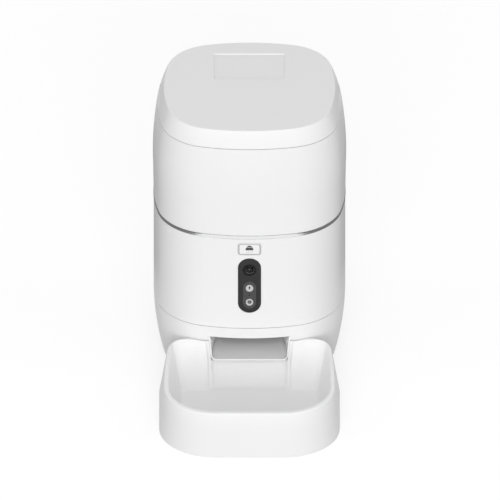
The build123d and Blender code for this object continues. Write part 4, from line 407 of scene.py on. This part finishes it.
def outer_ring(heights, grow=0.0):
    """A ring of the skirt, with a height for each station."""
    ring = []
    for index, z in enumerate(heights):
        x, forward = outer_half(z, grow)[index]
        ring.append((x, forward, z))
    return ring


def rim_ring(near, far, angle):
    """One ring of the round on the rim's edge next to near."""
    ring = []
    for p, q in zip(near, far):
        width = math.dist(p[:2], q[:2])
        radius = min(RIM_ROUND, RIM_SHARE_LIMIT * width)
        share = radius * (1 - math.cos(angle)) / width if width else 0.0
        drop = radius * (1 - math.sin(angle))
        ring.append((mix(p[0], q[0], share), mix(p[1], q[1], share), p[2] - drop))
    return ring


def inside_rings():
    """From the middle of the floor, round its edge and up the wall to the round of the rim."""
    rings = []
    lean = math.atan2(INNER_HALF[1] - INNER_HALF[0], BOWL_DEPTH)
    start = math.tan(math.pi / 4 - lean / 2)
    for band in range(FLOOR_BANDS + 1):
        turn = (QUARTER_TURN - lean) * band / FLOOR_BANDS
        rise = 1 - math.cos(turn)
        inset = start + rise * math.tan(lean) - math.sin(turn)
        share = FLOOR_ROUND * rise / BOWL_DEPTH
        outline = inner_half(share, -FLOOR_ROUND * inset)
        rings.append(flat_ring(outline, BOWL_FLOOR_Z + BOWL_DEPTH * share))
    low = FLOOR_ROUND * (1 - math.sin(lean)) / BOWL_DEPTH / RECESS_TOP_SHARE
    high = 1 - RIM_ROUND / BOWL_DEPTH
    for band in range(1, WALL_BANDS + 1):
        rings.append(inner_ring(mix(low, high, band / WALL_BANDS)))
    return rings


def rim_and_skirt_rings():
    """Over the rim and down the outside."""
    inner_top = inner_ring(1.0)
    outer_top = outer_ring([p[2] for p in inner_top])
    rings = []
    for band in range(1, RIM_BANDS + 1):
        rings.append(rim_ring(inner_top, outer_top, QUARTER_TURN * band / RIM_BANDS))
    for band in range(RIM_BANDS, 0, -1):
        rings.append(rim_ring(outer_top, inner_top, QUARTER_TURN * band / RIM_BANDS))
    for share in SKIRT_SHARES:
        rings.append(outer_ring([(p[2] - RIM_ROUND) * share for p in inner_top]))
    return rings


def underside_rings():
    """Up the inside of the skirt and along the outside of the cavity to the middle underneath."""
    outside_of_cavity = []
    for index, z in enumerate(UNDER_Z):
        x, forward = inner_half((z - BOWL_FLOOR_Z) / BOWL_DEPTH, BOWL_WALL)[index]
        outside_of_cavity.append((x, forward, z))
    return [
        outer_ring([0.0] * STATIONS, -BOWL_WALL),
        outer_ring(UNDER_Z, -BOWL_WALL),
        outside_of_cavity,
        flat_ring(inner_half(0.0, BOWL_WALL), BOWL_FLOOR_Z - BOWL_WALL),
    ]


def build_bowl():
    bm = bmesh.new()
    loops = []
    for ring in inside_rings() + rim_and_skirt_rings() + underside_rings():
        points = ring + [(-x, forward, z) for x, forward, z in ring[-2:0:-1]]
        loops.append([bm.verts.new(world_point(*point)) for point in points])
    for low, high in zip(loops, loops[1:]):
        bridge(bm, low, high)
    caps = [bm.faces.new(loops[0]), bm.faces.new(loops[-1])]
    bmesh.ops.triangulate(bm, faces=caps)
    bmesh.ops.remove_doubles(bm, verts=bm.verts, dist=0.01 * MM)
    bowl = make_object("bowl_shell", bm, plastic("bowl_white", **SHELL, edge=0.0001), smooth=True)
    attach(bowl, "bowl")
    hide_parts("bowl")


build_bowl()

# ---------------------------------------------------------------- chute lining
# A smooth tray on the spout's floor, from the foot of the ramp to the lip, so that nose and liner
# read as one moulding. Its inner white, darker than the nose's shell, is painted shade on the
# chute's floor. A station is (forward, floor, half width, corner radius).
TRAY_STATIONS = (
    (68.6, 40.2, 30.6, 1.6),
    (76.0, 38.7, 32.2, 1.9),
    (84.4, 37.0, 34.1, 2.4),
    (90.0, 35.9, 35.3, 3.4),
    (94.0, 35.1, 36.2, 4.2),
    (98.0, 34.7, 36.5, 4.8),
    (101.3, 34.3, 36.8, 5.2),
)
TRAY_LIFT = 0.25
TRAY_WALL = 0.2
TRAY_SIDE_LEAN = 0.15
TRAY_SIDE_HEIGHT = 6.0
TRAY_CORNER_COUNT = 8


def tray_profile(station, inset):
    """Right to left section of the tray, inset from the spout's walls."""
    forward, floor, half, corner = station
    floor, half = floor + inset, half - inset
    right = [(half + TRAY_SIDE_LEAN * TRAY_SIDE_HEIGHT, floor + TRAY_SIDE_HEIGHT)]
    for index in range(TRAY_CORNER_COUNT + 1):
        angle = QUARTER_TURN * index / TRAY_CORNER_COUNT
        right.append((
            half - corner * (1 - math.cos(angle)), floor + corner * (1 - math.sin(angle)),
        ))
    points = right + [(-x, z) for x, z in reversed(right)]
    return [(x, forward, z) for x, z in points]


def build_chute_shade_tray():
    bm = bmesh.new()
    rings = []
    for station in TRAY_STATIONS:
        upper = tray_profile(station, TRAY_LIFT + TRAY_WALL)
        lower = tray_profile(station, TRAY_LIFT)
        rings.append([bm.verts.new(world_point(*point)) for point in upper + lower[::-1]])
    for near, far in zip(rings, rings[1:]):
        bridge(bm, near, far)
    count = len(rings[0])
    for ring in (rings[0], rings[-1]):
        for index in range(count // 2 - 1):
            bm.faces.new((
                ring[index], ring[index + 1], ring[count - 2 - index], ring[count - 1 - index],
            ))
    tray = make_object("chute_shade_tray", bm, materials["white_inner"], smooth=True)
    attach(tray, "base")


build_chute_shade_tray()

# ---------------------------------------------------------------- painted glint on the lens
# A small bright silvered bead at the middle of the lens, behind the window: a painted highlight
# that stands in for the lens's catch-light.
GLINT_Z = 132.8
GLINT_RADIUS = 0.75
GLINT_FLATNESS = 0.4
GLINT_SEGMENTS = 20
GLINT_BANDS = 4


def build_painted_glint():
    lens = frame["nodes"]["camera_lens"]
    tip = min((lens.matrix_world @ Vector(corner)).y for corner in lens.bound_box)
    bm = bmesh.new()
    rings = []
    for band in range(GLINT_BANDS):
        angle = QUARTER_TURN * band / GLINT_BANDS
        radius = GLINT_RADIUS * math.cos(angle)
        depth = GLINT_RADIUS * GLINT_FLATNESS * math.sin(angle)
        ring = []
        for index in range(GLINT_SEGMENTS):
            turn = 2 * math.pi * index / GLINT_SEGMENTS
            z = GLINT_Z + radius * math.sin(turn)
            ring.append(bm.verts.new((radius * math.cos(turn) * MM, tip - depth * MM, z * MM)))
        rings.append(ring)
    for low, high in zip(rings, rings[1:]):
        bridge(bm, low, high)
    bm.faces.new(rings[0])
    bm.faces.new(rings[-1])
    # pale silver, so that the bead shows as the lens's highlight: a painted highlight
    glint_material = plastic("lens_painted_glint", colour=(0.8, 0.82, 0.84), roughness=0.15, metallic=0.6)
    glint = make_object("lens_painted_glint", bm, glint_material)
    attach(glint, "base")


build_painted_glint()

# ---------------------------------------------------------------- printed marks
# Points are (x, z) from the middle of the printed face.
PRINT_THICKNESS = 0.06 * MM
PRINT_EMBED = 0.02 * MM
ARC_COUNT = 24
LINE_CORNER_COUNT = 6
BODIES = frame["record"]["behaviour"]["bodies"]


def arc(cx, cz, rx, rz, start, end, count=ARC_COUNT):
    """Points of an elliptical arc, both ends included, with its angles in degrees."""
    points = []
    for index in range(count + 1):
        angle = math.radians(start + (end - start) * index / count)
        points.append((cx + rx * math.cos(angle), cz + rz * math.sin(angle)))
    return points


def dot(cx, cz, rx, rz):
    """A full ellipse."""
    return arc(cx, cz, rx, rz, 0, 360 - 360 / ARC_COUNT, ARC_COUNT - 1)


def rounded_line(half_width, half_height, corner, width):
    """A rounded rectangular line, in short pieces."""
    edges = []
    for inset in (0.0, width):
        radius = corner - inset
        points = []
        for quarter, (sx, sz) in enumerate(((1, 1), (-1, 1), (-1, -1), (1, -1))):
            cx = sx * (half_width - corner)
            cz = sz * (half_height - corner)
            start = 90 * quarter
            points += arc(cx, cz, radius, radius, start, start + 90, LINE_CORNER_COUNT)
        edges.append(points)
    outer, inner = edges
    count = len(outer)
    return [
        [outer[i], outer[(i + 1) % count], inner[(i + 1) % count], inner[i]]
        for i in range(count)
    ]


def printed(name, shapes, node, material, layer=0):
    """Pad-printed flat shapes on a node's front face."""
    low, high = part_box(node)
    centre_x = (low[0] + high[0]) / 2
    centre_z = (low[2] + high[2]) / 2
    front = low[1] + PRINT_EMBED - layer * PRINT_THICKNESS
    bm = bmesh.new()
    for shape in shapes:
        ring = [bm.verts.new((centre_x + x * MM, front, centre_z + z * MM)) for x, z in shape]
        face = bm.faces.new(ring)
        grown = bmesh.ops.extrude_face_region(bm, geom=[face])["geom"]
        moved = [item for item in grown if isinstance(item, bmesh.types.BMVert)]
        bmesh.ops.translate(bm, verts=moved, vec=(0, -PRINT_THICKNESS, 0))
    obj = make_object(name, bm, material)
    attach(obj, next(body for body, nodes in BODIES.items() if node in nodes))
    return obj


dark_ink = plastic("dark_ink", colour=0.07, roughness=0.6)
grey_ink = plastic("grey_ink", colour=0.45, roughness=0.6)
pale_ink = plastic("pale_ink", colour=0.5, roughness=0.5)

# a heaped bowl over a row of kibble dots, inside a grey line
heap = arc(0, 2.5, 2.5, 1.9, 8, 172)
rim = [(-3.1, 2.1), (-2.9, 2.6), (2.9, 2.6), (3.1, 2.1)]
dish = [(-3.3, 2.1), (3.3, 2.1), (4.1, -0.6), (3.4, -1.0), (-3.4, -1.0), (-4.1, -0.6)]
dots = [dot(x, -3.0, 0.5, 0.5) for x in (-2.7, -0.9, 0.9, 2.7)]
line = rounded_line(10.85, 6.15, 2.1, 0.95)
printed("feed_mark_dark", [heap, dish], "feed_button", dark_ink)
printed("feed_mark_rim", [rim], "feed_button", grey_ink, 1)
printed("feed_mark_dots", dots, "feed_button", grey_ink)
printed("feed_button_line", line, "feed_button", pale_ink)

# a microphone
capsule = arc(0, 1.6, 0.85, 0.85, 0, 180) + arc(0, 0.5, 0.85, 0.85, 180, 360)
stem = [(-0.2, -0.8), (0.2, -0.8), (0.2, -0.3), (-0.2, -0.3)]
foot = [(-0.7, -1.1), (0.7, -1.1), (0.7, -0.8), (-0.7, -0.8)]
printed("record_mark", [capsule, stem, foot], "record_button", dark_ink)

# a play sign
disc = dot(0, 0.6, 2.1, 2.0)
arrow = [(-0.5, -0.2), (0.85, 0.6), (-0.5, 1.4)]
printed("playback_mark_dark", [disc], "playback_button", dark_ink)
printed("playback_mark_light", [arrow], "playback_button", grey_ink, 1)

# ---------------------------------------------------------------- studio
# The floor is a pale grey that takes the object's shadow, lifted to white where it is seen.
FLOOR_SIZE = 6.0
FLOOR_TONE = 0.35
FLOOR_LIFT = 0.68


def surface(name, points, faces, material):
    """An object made of flat faces."""
    mesh = bpy.data.meshes.new(name)
    mesh.from_pydata(points, [], faces)
    mesh.materials.append(material)
    made = bpy.data.objects.new(name, mesh)
    bpy.context.collection.objects.link(made)
    return made


def stage_plane(name, size, material):
    """A level square."""
    half = size / 2
    corners = [(-half, -half, 0), (half, -half, 0), (half, half, 0), (-half, half, 0)]
    obj = surface(name, corners, [(0, 1, 2, 3)], material)


floor_material = bpy.data.materials.new("floor")
g = new_graph(floor_material)
lift = g.add(
    "ShaderNodeMapRange", {"Value": g.seen_or_mirrored(), "To Min": 0.0, "To Max": FLOOR_LIFT},
)
sweep = g.add("ShaderNodeBsdfDiffuse", {"Color": rgba(FLOOR_TONE)})
glow = g.add("ShaderNodeEmission", {"Color": rgba(1.0), "Strength": lift.outputs["Result"]})
both = g.add("ShaderNodeAddShader", {0: sweep.outputs[0], 1: glow.outputs[0]})
g.add("ShaderNodeOutputMaterial", {"Surface": both.outputs[0]})
stage_plane("floor", FLOOR_SIZE, floor_material)

# Two grey cards stand beside the feeder. They are seen only in reflections and give the chrome ring
# its dark ends. Behind the feeder their inner edges come closer.
CARD_TONE = 0.2
CARD_INNER, CARD_INNER_REAR = 0.222, 0.1
CARD_BEND_START, CARD_BEND_END = 0.1, 0.24
CARD_SIDE = 0.3
CARD_LIFT = 0.001
CARD_FRONT, CARD_REAR = -0.5, 0.5
CARD_HEIGHT = 0.8
CARD_OUTLINE = (
    (CARD_INNER, CARD_FRONT, CARD_LIFT), (CARD_INNER, CARD_BEND_START, CARD_LIFT),
    (CARD_INNER_REAR, CARD_BEND_END, CARD_LIFT), (CARD_INNER_REAR, CARD_REAR, CARD_LIFT),
    (CARD_SIDE, CARD_REAR, CARD_LIFT), (CARD_SIDE, CARD_FRONT, CARD_LIFT),
    (CARD_SIDE, CARD_REAR, CARD_HEIGHT), (CARD_SIDE, CARD_FRONT, CARD_HEIGHT),
)
CARD_FACES = [(0, 1, 2, 3, 4, 5), (5, 4, 6, 7)]


def side_card(name, side, material):
    """A card on one side of the feeder, -1 or 1."""
    card = surface(name, [(side * x, y, z) for x, y, z in CARD_OUTLINE], CARD_FACES, material)
    card.visible_camera = False
    card.visible_diffuse = False
    card.visible_transmission = False
    card.visible_shadow = False


card_material = bpy.data.materials.new("card")
g = new_graph(card_material)
grey = g.add("ShaderNodeEmission", {"Color": rgba(CARD_TONE), "Strength": 1.0})
g.add("ShaderNodeOutputMaterial", {"Surface": grey.outputs[0]})
side_card("left_card", -1, card_material)
side_card("right_card", 1, card_material)

# the sky is white where it is seen or mirrored, and dimmer as a light
SKY_LIGHT, SKY_SEEN = 0.58, 1.0
world = bpy.data.worlds.new("world")
bpy.context.scene.world = world
g = new_graph(world)
strength = g.add(
    "ShaderNodeMapRange", {"Value": g.seen_or_mirrored(), "To Min": SKY_LIGHT, "To Max": SKY_SEEN},
)
sky = g.add("ShaderNodeBackground", {"Color": rgba(1.0), "Strength": strength.outputs["Result"]})
g.add("ShaderNodeOutputWorld", {"Surface": sky.outputs[0]})

# a lamp's azimuth of 0 is in front, and 90 is on the right
LAMP_DISTANCE = 3.0


def softbox(name, azimuth, elevation, size, power):
    """A square soft light aimed at the feeder, not seen in gloss."""
    data = bpy.data.lights.new(name, "AREA")
    data.size = size
    data.energy = power
    lamp = bpy.data.objects.new(name, data)
    bpy.context.collection.objects.link(lamp)
    a, e = math.radians(azimuth), math.radians(elevation)
    away = Vector((math.sin(a) * math.cos(e), -math.cos(a) * math.cos(e), math.sin(e)))
    lamp.location = AIM + away * LAMP_DISTANCE
    lamp.rotation_mode = "QUATERNION"
    lamp.rotation_quaternion = away.to_track_quat("Z", "Y")
    lamp.visible_glossy = False


softbox("front", azimuth=0, elevation=9, size=1.0, power=30.5)
softbox("upper", azimuth=0, elevation=35, size=1.6, power=25)
softbox("left", azimuth=-80, elevation=25, size=1.2, power=9)
softbox("right", azimuth=80, elevation=25, size=1.2, power=9)
softbox("rear", azimuth=180, elevation=14, size=1.6, power=20)
